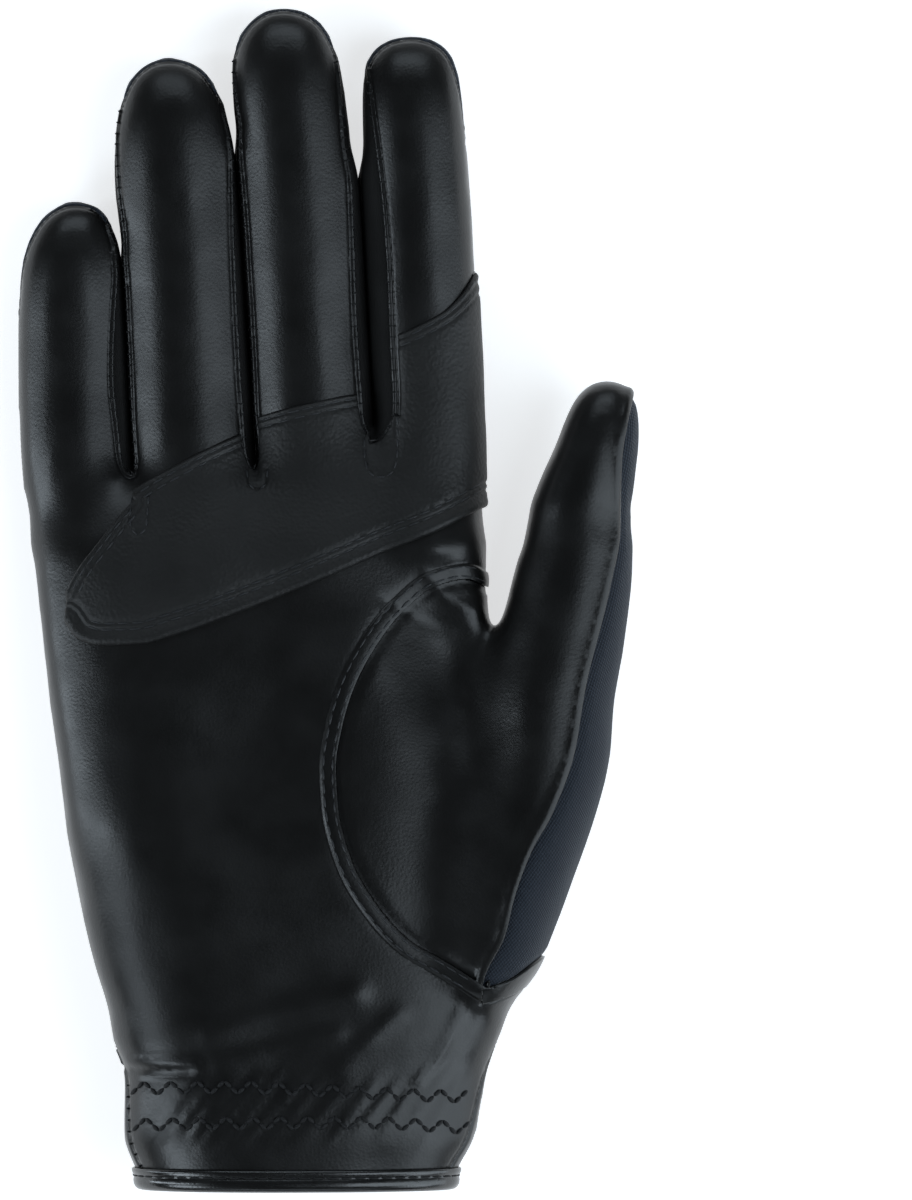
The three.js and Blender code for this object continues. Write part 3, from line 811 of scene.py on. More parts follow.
# The skin is refined where seams will be, then cut into its pieces
skin = body.copy()
refine(skin, lambda p: np.minimum(nearSeams(p), nearArch(p) - reaches["insideArch"]), reaches["seams"])
refine(skin, nearFineSeams, reaches["fineSeams"])
relax(skin, 1)
bmesh.ops.bisect_plane(
    skin, geom=skin.verts[:] + skin.edges[:] + skin.faces[:], dist=0.001,
    plane_co=(0, palmEnd, 0), plane_no=(0, -1, 0), clear_outer=True,
)
bmesh.ops.triangulate(skin, faces=skin.faces[:], quad_method="SHORT_EDGE")
report(f"refined to {len(skin.faces)} faces")
tags = skin.verts.layers.int.new("cut")
for name, field, where in cuts:
    cutAlong(skin, field, tagOf[name], where, tags)
regionOfFace = regionsOf(facePoints(skin))
addRelief(skin, fineRelief)
report(f"cut into {len(skin.faces)} faces")

# How the skin rises or sinks towards each kind of seam: distance in, rise
plainEdge = [(0, -0.5), (0.35, -0.12), (0.9, 0.1), (2, 0.05), (3.2, 0)]
sunkEdge = [(0, -0.5), (0.8, -0.25), (2.0, 0)]
shortEdge = [(0, -0.4), (0.8, 0)]
bandEdge = [(0, -0.15), (0.25, 0.12), (0.6, 0.24), (1.45, 0.28)]
edgeShapes = {
    "palm": {
        "side": [(0, -0.1), (0.3, 0.12), (0.7, -0.18), (1.3, 0.02), (2.2, 0)],
        "strip": [(0, 0.3), (0.45, 0.3), (0.85, -0.22), (1.5, 0.02), (2.4, 0)],
        "arch": [(0, 0.36), (0.3, 0.43), (1.5, 0.55), (2.9, 0.42), (3.4, -0.08), (4.4, 0)],
        "bandUp": shortEdge, "bandDown": shortEdge,
    },
    "back": {"side": plainEdge, "strip": plainEdge, "bandUp": sunkEdge, "backThumb": plainEdge},
    "thumbFront": {
        "side": plainEdge,
        "arch": [(0, -0.3), (0.7, -0.3), (2, 0)],
        "cloth": [(0, 0.42), (0.3, 0.5), (1.0, 0.56), (2.1, 0.12), (3.4, 0)],
        "bandUp": shortEdge,
    },
    "thumbBack": {
        "side": plainEdge, "cloth": [(0, -0.4), (0.9, -0.3), (2.4, 0)],
        "bandUp": sunkEdge, "backThumb": plainEdge,
    },
    "cuffBack": {"side": plainEdge, "bandDown": sunkEdge},
    "cuffBand": {"side": [(0, -0.5), (0.3, 0)], "bandUp": bandEdge, "bandDown": bandEdge},
    "strip0": {"strip": sunkEdge}, "strip1": {"strip": sunkEdge}, "strip2": {"strip": sunkEdge},
}


def dropFaces(bm, gone):
    # deletes the faces whose flag is set
    bmesh.ops.delete(bm, geom=[f for f, k in zip(bm.faces, gone) if k], context="FACES")


def separated(bm, numbers, count):
    # one bmesh for each number that the faces carry
    mesh = bpy.data.meshes.new("skin")
    bm.to_mesh(mesh)
    found = []
    for number in range(count):
        part = bmesh.new()
        part.from_mesh(mesh)
        dropFaces(part, numbers != number)
        found.append(part)
    bpy.data.meshes.remove(mesh)
    return found


def largestIsland(bm):
    # drops the crumbs that a cut leaves beside a piece
    left = set(bm.faces)
    islands = []
    while left:
        stack = [left.pop()]
        island = []
        while stack:
            f = stack.pop()
            island.append(f)
            for e in f.edges:
                for g in e.link_faces:
                    if g in left:
                        left.remove(g)
                        stack.append(g)
        islands.append(island)
    islands.sort(key=len)
    for island in islands[:-1]:
        bmesh.ops.delete(bm, geom=island, context="FACES")


def shapeEdges(bm, shapes):
    # the roll, lip or dip of a piece along each kind of seam
    tags = bm.verts.layers.int["cut"]
    out = bm.verts.layers.float_vector["out"]
    points = readPoints(bm)
    normals = np.array([v[out][:] for v in bm.verts])
    rims = {cut: [] for cut in shapes}
    for e in bm.edges:
        if not e.is_boundary:
            continue
        both = e.verts[0][tags] & e.verts[1][tags]
        for cut in shapes:
            if both & tagOf[cut]:
                a, b = e.verts[0].co, e.verts[1].co
                rims[cut] += [a, a.lerp(b, 0.5), b]
                break
    rise = np.zeros(len(points))
    for cut, rim in rims.items():
        if not rim:
            continue
        tree = KDTree(len(rim))
        for i, place in enumerate(rim):
            tree.insert(place, i)
        tree.balance()
        near = np.array([tree.find(v.co)[2] for v in bm.verts])
        here = smoothCurve(*zip(*shapes[cut]))(near)
        rise = np.where(np.abs(here) > np.abs(rise), here, rise)
    writePoints(bm, points + normals * rise[:, None])


outward = skin.verts.layers.float_vector.new("out")
skin.normal_update()
for v in skin.verts:
    v[outward] = v.normal
parts = dict(zip(regionNames, separated(skin, regionOfFace, len(regionNames))))
for name, bm in parts.items():
    largestIsland(bm)
    shapeEdges(bm, edgeShapes[name])
report("parts: " + ", ".join(f"{n} {len(b.faces)}" for n, b in parts.items()))

# The patch lies over the leather, with its edges turned under
patch = {
    "gap": 0.2, "thick": 0.8, "lowest": 9.5, "wall": 0.7, "floor": 6, "along": (15, 120),
    # its edge rounds over this distance, and its wall thins towards the edge
    "round": 0.55, "thinning": 0.6, "thinnest": 0.12,
    # how full the fold is, how far in and over what half width
    "fold": (0.3, 1.1, 0.8),
    # how deep each kind of row sinks in, and over what half width
    "topDip": (0.26, 0.36), "foldDip": (0.34, 0.42), "crotchDip": (0.22, 0.4),
}
patchTopLines = [
    [
        (51, 117), (46.6, 112.5), (44.4, 106.5), (41.6, 99.8), (36.6, 93.6), (32.2, 90.9),
        (26.8, 88.4), (22.6, 87.0),
    ],
    [(21.6, 76.4), (16.6, 75.9), (10.4, 74.6), (3.3, 73.0), (-3.0, 71.2)],
    [(-4.2, 68.6), (-6.7, 67.6), (-12.5, 64.9), (-18.7, 61.6), (-25.4, 57.8), (-28.2, 56)],
    [(-28.8, 53.2), (-31.5, 50.2), (-35.4, 45.2), (-39.6, 39.6), (-42.0, 35.0)],
]
patchFold = [
    (-42.2, 28.6), (-39.6, 25.2), (-35.0, 23.8), (-27.0, 24.0), (-19.3, 26.0), (-4.2, 31.4),
    (11.2, 37.6), (23.9, 43.1), (35.6, 47.8), (45.1, 53.0), (52, 56.5),
]
patchOutline = np.concatenate([smoothLine(line) for line in patchTopLines] + [smoothLine(patchFold)])


def patchField(p):
    inside = signedTo(p[:, :2], patchOutline)
    return np.minimum(np.minimum(inside, p[:, 2] - patch["lowest"]), -0.8 - stripField(p))


def abovePatchFloor(p):
    return p[:, 2] > patch["floor"]


def nearPatchEdge(p):
    return np.where(abovePatchFloor(p), np.abs(patchField(p)), 9)


# Rows of stitches, by distance from the patch's edges
rowsTop = [1.0, 2.4]
rowsFold = [3.3, 4.6]
foldLine = smoothLine(patchFold)
topLines = [smoothLine(line) for line in patchTopLines]
# Rows of stitches that go down one side of each crotch and up the other
crotchRows = [smoothLine(row, 0.5) for row in (
    [(-28.5, 54.6), (-28.9, 49.9), (-27.7, 46.8), (-25.8, 47.4), (-25.2, 52.0), (-25.0, 54.7)],
    [(-4.8, 60.3), (-4.2, 57.0), (-2.5, 56.2), (-0.8, 57.0), (-0.4, 60.3)],
    [(19.8, 71.1), (19.6, 64.5), (20.8, 59.5), (23.1, 58.7), (25.4, 59.5), (26.6, 64.5), (26.6, 71.1)],
)]


def fromPatchEdges(p):
    # distances to the patch's fold and to its edge on the fingers
    fold = distanceTo(p[:, :2], foldLine)
    return fold, np.min([distanceTo(p[:, :2], line) for line in topLines], 0)


def nearRows(p):
    # distance to the nearest row of stitches or edge of the patch
    fold, top = fromPatchEdges(p)
    rows = [np.abs(top - row) for row in rowsTop] + [np.abs(fold - row) for row in rowsFold]
    rows += [distanceTo(p[:, :2], row) for row in crotchRows]
    return np.minimum(np.min(rows, 0), nearPatchEdge(p))


grip = body.copy()
middles = facePoints(grip)
away = (middles[:, 1] <= patch["along"][0]) | (middles[:, 1] >= patch["along"][1])
away |= middles[:, 2] < patch["floor"]
dropFaces(grip, away)
refine(grip, nearPatchEdge, reaches["patchEdge"])
refine(grip, nearRows, reaches["patchRows"])
relax(grip, 1, 0.5 * np.array([not v.is_boundary for v in grip.verts]))
bmesh.ops.triangulate(grip, faces=grip.faces[:], quad_method="SHORT_EDGE")
tags = grip.verts.layers.int.new("cut")
cutAlong(grip, patchField, 1, abovePatchFloor, tags)
dropFaces(grip, patchField(facePoints(grip)) <= 0)
largestIsland(grip)
addRelief(grip, fineRelief)


def patchRelief(p):
    # height over the leather, with a dip along each row of stitches and a full fold below
    fold, top = fromPatchEdges(p)
    away = np.clip(patchField(p), 0, None)
    edge = patch["thick"] * np.sqrt(1 - (1 - np.clip(away / patch["round"], 0, 1)) ** 2)
    full, middle, half = patch["fold"]
    rise = patch["gap"] + edge + full * np.exp(-(((fold - middle) / half) ** 2)) * (away > 0.3)
    dips = [(top - row, patch["topDip"]) for row in rowsTop]
    dips += [(fold - row, patch["foldDip"]) for row in rowsFold]
    dips += [(distanceTo(p[:, :2], row), patch["crotchDip"]) for row in crotchRows]
    for fromRow, (deep, half) in dips:
        rise -= deep * np.exp(-((fromRow / half) ** 2))
    return rise


flat = readPoints(grip)
normals = readNormals(grip)
# the wall thins out towards the edge, by a weight of each vertex
thin = grip.verts.layers.deform.verify()
inner = np.clip(patchField(flat) / patch["thinning"], patch["thinnest"], 1)
for v, share in zip(grip.verts, inner):
    v[thin][0] = float(share)
writePoints(grip, flat + normals * patchRelief(flat)[:, None])
report(f"patch of {len(grip.faces)} faces")

# section of the fold, out from the leather and up from the hem
bindingSection = [
    (0.16, 4.55), (0.5, 4.62), (0.82, 4.4), (0.95, 3.9), (0.86, 3.25), (0.66, 2.95), (0.86, 2.65),
    (1.12, 2.0), (1.22, 1.3), (1.05, 0.6), (0.6, 0.15), (-0.1, 0.0), (-1.2, 0.0), (-1.9, 0.2),
    (-2.3, 0.7), (-2.4, 1.6), (-2.3, 3.4), (-2.0, 4.4), (-1.6, 4.55), (-1.35, 4.3), (-1.35, 1.15),
    (0.14, 1.15), (0.14, 4.2),
]
hemSkin = BVHTree.FromBMesh(skin)
hemMiddle = Vector((3.0, 0, 19.0))
turns = 160
hemHeight = 4.6


def hemRing(y):
    # the skin's outline at a place along, across and up
    found = []
    for i in range(turns):
        turn = math.tau * i / turns
        way = Vector((math.cos(turn), 0, math.sin(turn)))
        start = Vector((hemMiddle.x, y, hemMiddle.z)) + way * 90
        place = hemSkin.ray_cast(start, -way)[0]
        found.append((place.x, place.z))
    ring = np.array(found)
    for _ in range(3):
        ring = 0.5 * ring + 0.25 * (np.roll(ring, 1, 0) + np.roll(ring, -1, 0))
    return ring


hemRingsAt = (-84.2, -87.3)
ringHigh, ringLow = [hemRing(y) for y in hemRingsAt]
binding = bmesh.new()
made = bmesh.ops.create_circle(binding, segments=turns, radius=1, cap_ends=False)["verts"]


def ringAt(share):
    # the hem's outline between its low and high ring, and the way outwards at each point
    ring = ringLow + (ringHigh - ringLow) * share
    way = np.roll(ring, -1, 0) - np.roll(ring, 1, 0)
    way /= np.linalg.norm(way, axis=1)[:, None]
    return ring, np.stack([way[:, 1], -way[:, 0]], 1)


def placeRing(verts, out, up):
    for v, place, way in zip(verts, *ringAt(min(1, up / hemHeight))):
        v.co = (place[0] + way[0] * out, hemLine + up, place[1] + way[1] * out)


placeRing(made, *bindingSection[0])
first = made
for out, up in bindingSection[1:]:
    edges = [binding.edges.get((a, b)) for a, b in zip(made, made[1:] + made[:1])]
    grown = bmesh.ops.extrude_edge_only(binding, edges=edges)["geom"]
    fresh = {g for g in grown if isinstance(g, bmesh.types.BMVert)}
    made = [next(e.other_vert(v) for e in v.link_edges if e.other_vert(v) in fresh) for v in made]
    placeRing(made, out, up)
edges = [
    binding.edges.get((a, b)) for ring in (first, made) for a, b in zip(ring, ring[1:] + ring[:1])
]
bmesh.ops.bridge_loops(binding, edges=edges)
bmesh.ops.recalc_face_normals(binding, faces=binding.faces[:])
report(f"binding of {len(binding.faces)} faces")

# Every stitch is a short bead laid on the leather
thread = {"width": 0.42, "long": 2.3, "between": 0.55, "sides": 6, "rings": 4}
front = [
    BVHTree.FromBMesh(bm)
    for bm in (parts["palm"], parts["thumbFront"], parts["thumbBack"], grip, binding)
]


def dropped(x, y):
    # the highest point of the glove at a place, and its normal
    best = None
    for tree in front:
        place, normal = tree.ray_cast(Vector((x, y, 80)), Vector((0, 0, -1)))[:2]
        if place and (best is None or place.z > best[0].z):
            best = (place, normal)
    return best


def offsetLine(line, away):
    # a line moved sideways, to the right of its direction
    way = np.gradient(line[:, :2], axis=0)
    way /= np.linalg.norm(way, axis=1)[:, None]
    return line[:, :2] + np.stack([way[:, 1], -way[:, 0]], 1) * away


def walk(line, steps):
    # what a line's columns say at the given distances along it, and its length
    along = np.concatenate([[0], np.cumsum(np.linalg.norm(np.diff(line[:, :2], axis=0), axis=1))])
    columns = [np.interp(steps, along, line[:, k]) for k in range(line.shape[1])]
    return np.stack(columns, 1), along[-1]


def addStitch(bm, a, b, normal, width, lift):
    way = b - a
    side = way.cross(normal).normalized()
    up = side.cross(way).normalized()
    turn = Matrix((side, way.normalized(), up)).transposed().to_4x4()
    size = Matrix.Diagonal((width / 2, way.length / 2 + width * 0.1, width / 2, 1))
    place = Matrix.Translation((a + b) / 2 + up * lift)
    swing = Matrix.Rotation(math.pi / 2, 4, "X")
    bmesh.ops.create_uvsphere(
        bm, u_segments=thread["sides"], v_segments=thread["rings"] + 1, radius=1,
        matrix=place @ turn @ size @ swing,
    )


def stitchRow(bm, line, long=thread["long"], lift=0.02):
    total = walk(line, [0])[1]
    count = max(1, int(total / (long + thread["between"])))
    starts = np.linspace(0, total - long, count)
    heads, tails = walk(line, starts)[0], walk(line, starts + long)[0]
    for head, tail in zip(heads, tails):
        a, b = dropped(*head), dropped(*tail)
        if a and b and abs(a[0].z - b[0].z) < 3 * long:
            addStitch(bm, a[0], b[0], (a[1] + b[1]) / 2, thread["width"], lift)


patchThread = bmesh.new()
for line in topLines:
    for row in rowsTop:
        stitchRow(patchThread, offsetLine(line, -row)[1:-1] if line[0, 0] > line[-1, 0] else line)
for row in rowsFold:
    stitchRow(patchThread, offsetLine(foldLine, -row)[5:-7])
for row in crotchRows:
    stitchRow(patchThread, row, long=1.6)
archThread = bmesh.new()
archRows = (0.75, 2.6)
for away in archRows:
    stitchRow(archThread, offsetLine(archLine, away)[3:-4], lift=0.05)
cuffThread = bmesh.new()
# zigzag rows of the elastic: the line of each row's middle
zigzag = {"pitch": 5.58, "rise": 2.7, "width": 0.95, "lift": 0.08, "ends": 0.06}
zigzagRows = [
    [(-28.6, -67.7), (-8, -67.2), (20, -68.4), (43.5, -69.6)],
    [(-28.2, -75.2), (-8, -74.6), (20, -74.5), (41.5, -76.0)],
]
for row in zigzagRows:
    line = smoothLine(row, 0.5)
    total = walk(line, [0])[1]
    steps = np.arange(0, total, zigzag["pitch"] / 2)
    corners = walk(line, steps)[0]
    corners[:, 1] += np.where(np.arange(len(corners)) % 2, 0.5, -0.5) * zigzag["rise"]
    for head, tail in zip(corners[:-1], corners[1:]):
        middle = (head + tail) / 2
        for p, q in ((head, middle), (middle, tail)):
            inset = zigzag["ends"] * (q - p)
            a, b = dropped(*(p + inset)), dropped(*(q - inset))
            normal = (a[1] + b[1]) / 2
            addStitch(cuffThread, a[0], b[0], normal, zigzag["width"], zigzag["lift"])
hemThread = bmesh.new()
# the row in the groove of the binding: its height, and how far out it lies
hemRow = {"up": 2.98, "ringShare": 0.66, "out": 0.78, "long": 0.8}
seat, out = ringAt(hemRow["ringShare"])
rim = np.concatenate([seat + hemRow["out"] * out, out], 1)
rim = np.concatenate([rim, rim[:1]])
total = walk(rim, [0])[1]
count = int(total / (thread["long"] + thread["between"]))
for i in range(count):
    spots = walk(rim, np.array([i, i + hemRow["long"]]) * total / count)[0]
    a, b = [Vector((p[0], hemLine + hemRow["up"], p[1])) for p in spots]
    normal = Vector((spots[0, 2], 0, spots[0, 3]))
    addStitch(hemThread, a, b, normal, thread["width"], 0.05)


overSeam = {"out": 0.15, "up": 0.06}


def overStitches(bm, rim, starts, across, width):
    # short stitches over the edge of a seam, at places along its rim
    for start in starts:
        v = min(rim, key=lambda v: abs(v.co.y - start))
        side = v.normal.cross(Vector((0, 1, 0)))
        if side.z < 0:
            side = -side
        side.normalize()
        a = v.co - side * overSeam["out"] + v.normal * overSeam["up"]
        b = v.co + side * across + v.normal * overSeam["up"]
        addStitch(bm, a, b, v.normal, width, 0.0)


seamThread = bmesh.new()
stripSeam = {"step": 2.3, "long": 0.85, "width": 0.42}
cuffSeam = {"step": 2.4, "long": 0.7, "width": 0.5}
palmTags = parts["palm"].verts.layers.int["cut"]
rimVerts = [v for v in parts["palm"].verts if v.is_boundary]
for i, foot in enumerate(strips["feet"]):
    for finger, side in ((fingers[i], -1), (fingers[i + 1], 1)):
        rim = [
            v for v in rimVerts
            if v[palmTags] & tagOf["strip"] and 0 < (v.co.x - gapX(i, v.co.y)) * side < 9
        ]
        starts = np.arange(foot + 3, crotchLine + 0.9 * finger["length"], stripSeam["step"])
        overStitches(seamThread, rim, starts, stripSeam["long"], stripSeam["width"])
cuffRim = [v for v in rimVerts if v[palmTags] & tagOf["side"] and v.co.x < 0 and v.co.y < -58]
starts = np.arange(-84, -65, cuffSeam["step"])
overStitches(seamThread, cuffRim, starts, cuffSeam["long"], cuffSeam["width"])
report("stitches")

metre = 0.001


def finishPiece(bm, name, nodes, material, wall=1.4):
    bmesh.ops.scale(bm, verts=bm.verts[:], vec=(metre, metre, metre))
    for f in bm.faces:
        f.smooth = True
    obj = newObject(bm, name)
    obj.data.materials.append(material)
    if wall:
        solid = obj.modifiers.new("wall", "SOLIDIFY")
        solid.thickness = wall * metre
        solid.offset = -1
        solid.use_rim = True
    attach(obj, "root")
    if nodes:
        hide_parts(*nodes)
    return obj


def newMaterial(name):
    material = bpy.data.materials.new(name)
    material.use_nodes = True
    tree = material.node_tree
    return material, tree, tree.nodes["Principled BSDF"]


def newNode(tree, kind, values):
    # a node with constant numbers on the sockets that are named or counted
    node = tree.nodes.new("ShaderNode" + kind)
    for socket, value in values.items():
        node.inputs[socket].default_value = value
    return node


def mapped(tree, value, low, high, first, last):
    node = newNode(tree, "MapRange", {1: low, 2: high, 3: first, 4: last})
    tree.links.new(value, node.inputs[0])
    return node.outputs[0]


def blendColours(tree, shader, factor, dark, light):
    mix = tree.nodes.new("ShaderNodeMix")
    mix.data_type = "RGBA"
    mix.inputs["A"].default_value = (*dark, 1)
    mix.inputs["B"].default_value = (*light, 1)
    tree.links.new(factor, mix.inputs["Factor"])
    tree.links.new(mix.outputs["Result"], shader.inputs["Base Color"])


def addBump(tree, shader, height, look):
    bump = newNode(tree, "Bump", {"Strength": look["bump"], "Distance": look["bumpDepth"]})
    tree.links.new(height, bump.inputs["Height"])
    tree.links.new(bump.outputs["Normal"], shader.inputs["Normal"])


def leatherMaterial(name, look):
    material, tree, shader = newMaterial(name)
    where = tree.nodes.new("ShaderNodeTexCoord").outputs["Object"]

    def noise(scale, detail):
        node = newNode(tree, "TexNoise", {"Scale": scale, "Detail": detail, "Roughness": 0.5})
        tree.links.new(where, node.inputs["Vector"])
        return node.outputs["Fac"]

    patchy = mapped(tree, noise(look["patchScale"], 3), 0.35, 0.65, 0, 1)
    blendColours(tree, shader, patchy, look["dark"], look["light"])
    rough = mapped(tree, noise(look["patchScale"] * 2.6, 4), 0.3, 0.7, *look["rough"])
    tree.links.new(rough, shader.inputs["Roughness"])
    grain = tree.nodes.new("ShaderNodeTexVoronoi")
    grain.feature = "SMOOTH_F1"
    grain.inputs["Scale"].default_value = look["grainScale"]
    grain.inputs["Smoothness"].default_value = 0.6
    tree.links.new(where, grain.inputs["Vector"])
    creases = mapped(tree, noise(look["grainScale"] * 0.3, 4), 0, 1, 0, look["creaseShare"])
    add = tree.nodes.new("ShaderNodeMath")
    add.operation = "ADD"
    tree.links.new(grain.outputs["Distance"], add.inputs[0])
    tree.links.new(creases, add.inputs[1])
    addBump(tree, shader, add.outputs[0], look)
    shader.inputs["Specular IOR Level"].default_value = look["specular"]
    return material


satin = {
    "dark": (0.0052, 0.005, 0.0048), "light": (0.0075, 0.0072, 0.007), "rough": (0.28, 0.38),
    "patchScale": 45, "grainScale": 1700, "creaseShare": 0.8, "bump": 0.16, "bumpDepth": 0.00012,
    "specular": 0.42,
}
matte = dict(
    satin, dark=(0.0055, 0.0053, 0.005), light=(0.0085, 0.0082, 0.0078), rough=(0.48, 0.58),
    grainScale=1300, bump=0.45, bumpDepth=0.0002, specular=0.4,
)
glossy = dict(satin, rough=(0.2, 0.3), bump=0.15, specular=0.7)
leather = leatherMaterial("satin_leather", satin)
gripLeather = leatherMaterial("grip_leather", matte)
bindingLeather = leatherMaterial("binding_leather", glossy)
innerLeather = leatherMaterial("strip_leather", dict(satin, rough=(0.6, 0.7), specular=0.15))


def clothMaterial(name, look):
    material, tree, shader = newMaterial(name)
    where = tree.nodes.new("ShaderNodeUVMap")
    where.uv_map = "weave"
    turn = newNode(tree, "Mapping", {"Rotation": (0, 0, math.radians(look["turn"]))})
    tree.links.new(where.outputs[0], turn.inputs["Vector"])
    split = tree.nodes.new("ShaderNodeSeparateXYZ")
    tree.links.new(turn.outputs[0], split.inputs[0])

    def wave(value, rate):
        scale = newNode(tree, "Math", {1: math.tau * rate})
        scale.operation = "MULTIPLY"
        tree.links.new(value, scale.inputs[0])
        sine = tree.nodes.new("ShaderNodeMath")
        sine.operation = "SINE"
        tree.links.new(scale.outputs[0], sine.inputs[0])
        return sine.outputs[0]

    weave = tree.nodes.new("ShaderNodeMath")
    weave.operation = "MULTIPLY"
    tree.links.new(wave(split.outputs["X"], look["rate"]), weave.inputs[0])
    tree.links.new(wave(split.outputs["Y"], look["rate"] * 0.8), weave.inputs[1])
    height = mapped(tree, weave.outputs[0], -1, 1, 0, 1)
    blendColours(tree, shader, height, look["dark"], look["light"])
    addBump(tree, shader, height, look)
    shader.inputs["Roughness"].default_value = look["rough"]
    shader.inputs["Sheen Weight"].default_value = look["sheen"]
    shader.inputs["Sheen Roughness"].default_value = 0.4
    shader.inputs["Specular IOR Level"].default_value = 0.25
    return material


stretch = {
    "dark": (0.006, 0.008, 0.012), "light": (0.02, 0.027, 0.04), "rate": 1250, "turn": 35,
    "rough": 0.75, "sheen": 0.12, "bump": 0.6, "bumpDepth": 0.00025,
}
cloth = clothMaterial("stretch_cloth", stretch)


def threadMaterial(name, colour, rough):
    material, tree, shader = newMaterial(name)
    noise = newNode(tree, "TexNoise", {"Scale": 2500})
    where = tree.nodes.new("ShaderNodeTexCoord").outputs["Object"]
    tree.links.new(where, noise.inputs["Vector"])
    dark, light = [[share * c for c in colour] for share in (0.6, 1.4)]
    blendColours(tree, shader, noise.outputs["Fac"], dark, light)
    shader.inputs["Roughness"].default_value = rough
    return material


blackThread = threadMaterial("black_thread", (0.0025, 0.0025, 0.003), 0.8)
greyThread = threadMaterial("grey_thread", (0.016, 0.017, 0.019), 0.5)


def layWeave(obj):
    # a flat pattern of the piece, in metres, for its weave
    obj.data.uv_layers.new(name="weave")
    bpy.ops.object.select_all(action="DESELECT")
    obj.select_set(True)
    bpy.context.view_layer.objects.active = obj
    bpy.ops.object.mode_set(mode="EDIT")
    bpy.ops.mesh.select_all(action="SELECT")
    bpy.ops.uv.unwrap(method="CONFORMAL", margin=0.0)
    bpy.ops.object.mode_set(mode="OBJECT")
    mesh = obj.data
    uv = mesh.uv_layers["weave"]
    flat = np.zeros(len(mesh.loops) * 2)
    uv.data.foreach_get("uv", flat)
    flat = flat.reshape(-1, 2)
    places = np.zeros(len(mesh.vertices) * 3)
    mesh.vertices.foreach_get("co", places)
    corner = np.zeros(len(mesh.loops), int)
    mesh.loops.foreach_get("vertex_index", corner)
    spots = places.reshape(-1, 3)[corner][:, :2]
    # scaled and turned so that it lies as near as can be to the piece seen from above
    a, b = flat - flat.mean(0), spots - spots.mean(0)
    u, size, v = np.linalg.svd(a.T @ b)
    area = sum(p.area for p in mesh.polygons)
    first, second, third = flat.reshape(-1, 3, 2).transpose(1, 2, 0)
    (ax, ay), (bx, by) = second - first, third - first
    flatArea = 0.5 * np.abs(ax * by - bx * ay).sum()
    scaled = (a @ (u @ v)) * math.sqrt(area / flatArea)
    uv.data.foreach_set("uv", scaled.astype(np.float32).ravel())


pieces = [
    ("palm_leather", "palm", "palm", "leather", leather),
    ("back_cloth", "back", "back", "cloth", cloth),
    ("thumb_leather", "thumbFront", "thumb_front", "leather", leather),
    ("thumb_cloth", "thumbBack", "thumb_back", "cloth", cloth),
    ("cuff_leather", "cuffBack", "cuff_back", "leather", leather),
    ("cuff_fold", "cuffBand", "cuff_band", "leather", leather),
    ("strip_little_ring", "strip0", "fourchette_little_ring", "leather", innerLeather),
    ("strip_ring_middle", "strip1", "fourchette_ring_middle", "leather", innerLeather),
    ("strip_middle_index", "strip2", "fourchette_middle_index", "leather", innerLeather),
]
for name, part, node, slot, material in pieces:
    bm = parts[part]
    bmesh.ops.triangulate(bm, faces=[f for f in bm.faces if len(f.verts) > 3])
    obj = finishPiece(bm, name, [node], material)
    if material is cloth:
        layWeave(obj)
bmesh.ops.triangulate(grip, faces=[f for f in grip.faces if len(f.verts) > 3])
obj = finishPiece(grip, "grip_patch", ["rein_patch"], gripLeather, patch["wall"])
obj.vertex_groups.new(name="thin")
obj.modifiers["wall"].vertex_group = "thin"
finishPiece(binding, "hem_roll", ["hem_binding"], bindingLeather, 0)
threads = [
    ("patch_stitches", patchThread, greyThread),
    ("arch_stitches", archThread, greyThread),
    ("cuff_stitches", cuffThread, blackThread),
    ("hem_stitches", hemThread, blackThread),
    ("seam_stitches", seamThread, blackThread),
]
for name, bm, material in threads:
    finishPiece(bm, name, [], material, 0)
report("pieces")

# Floor, light and camera
floorMesh = bmesh.new()
bmesh.ops.create_grid(floorMesh, x_segments=1, y_segments=1, size=2.5)
floor = newObject(floorMesh, "floor")
paper, tree, shader = newMaterial("paper")
shader.inputs["Base Color"].default_value = (0.9, 0.9, 0.9, 1)
shader.inputs["Roughness"].default_value = 0.9
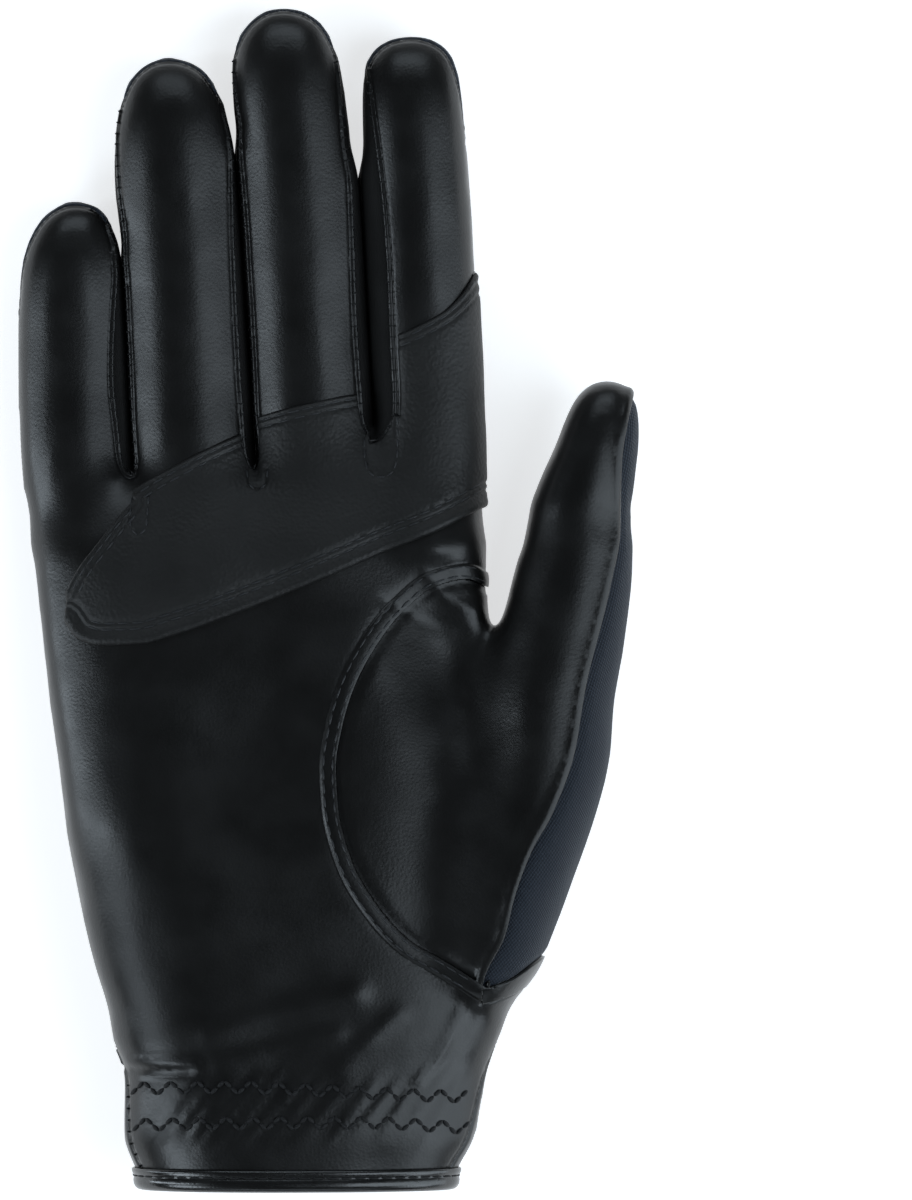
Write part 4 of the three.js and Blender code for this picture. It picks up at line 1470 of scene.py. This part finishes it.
# the floor glows a little, as a lit white table does
shader.inputs["Emission Color"].default_value = (1, 1, 1, 1)
shader.inputs["Emission Strength"].default_value = 0.65
floor.data.materials.append(paper)


cool = (0.8, 0.91, 1)
# name, place, target, size and power, in metres and watts
lights = [
    ("leftBox", (-0.93, 0, 0.14), (0, 0, 0.01), (0.16, 1.5), 5.6),
    ("leftNear", (-0.62, -0.42, 0.5), (0, -0.05, 0), (0.35, 0.35), 2.2),
    ("rightBox", (0.78, -0.1, 0.5), (0, 0, 0), (0.6, 1.6), 7.8),
    ("rightNear", (0.7, -0.5, 0.42), (0, -0.05, 0), (0.35, 0.35), 1.2),
    ("farBox", (0, 0.95, 0.6), (0, 0.05, 0), (0.9, 0.4), 2.2),
    ("nearBox", (0, -0.9, 0.5), (0, 0, 0), (0.9, 0.4), 0.9),
]
for name, place, target, size, power in lights:
    data = bpy.data.lights.new(name, "AREA")
    data.shape = "RECTANGLE"
    data.size, data.size_y = size
    data.energy = power
    data.color = cool
    lamp = bpy.data.objects.new(name, data)
    lamp.location = place
    way = Vector(target) - Vector(place)
    lamp.rotation_euler = way.to_track_quat("-Z", "Y").to_euler()
    bpy.context.scene.collection.objects.link(lamp)
world = bpy.data.worlds.new("room")
world.use_nodes = True
world.node_tree.nodes["Background"].inputs["Color"].default_value = (0.8, 0.9, 1, 1)
world.node_tree.nodes["Background"].inputs["Strength"].default_value = 0.035
bpy.context.scene.world = world

# The camera looks straight down on the middle of the photo's frame, and takes in its half height
# either way at the distance given
view = {"middle": (0.0387, 0.0333), "height": 2.512, "distance": 2.5, "half": 0.1248}
cameraData = bpy.data.cameras.new("camera")
cameraData.sensor_width = 36
cameraData.lens = cameraData.sensor_width / 2 * view["distance"] / view["half"]
cameraData.clip_end = 20
camera = bpy.data.objects.new("camera", cameraData)
camera.location = (*view["middle"], view["height"])
bpy.context.scene.collection.objects.link(camera)
bpy.context.scene.camera = camera
bpy.context.scene.view_settings.view_transform = "Standard"

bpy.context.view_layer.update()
report("scene")
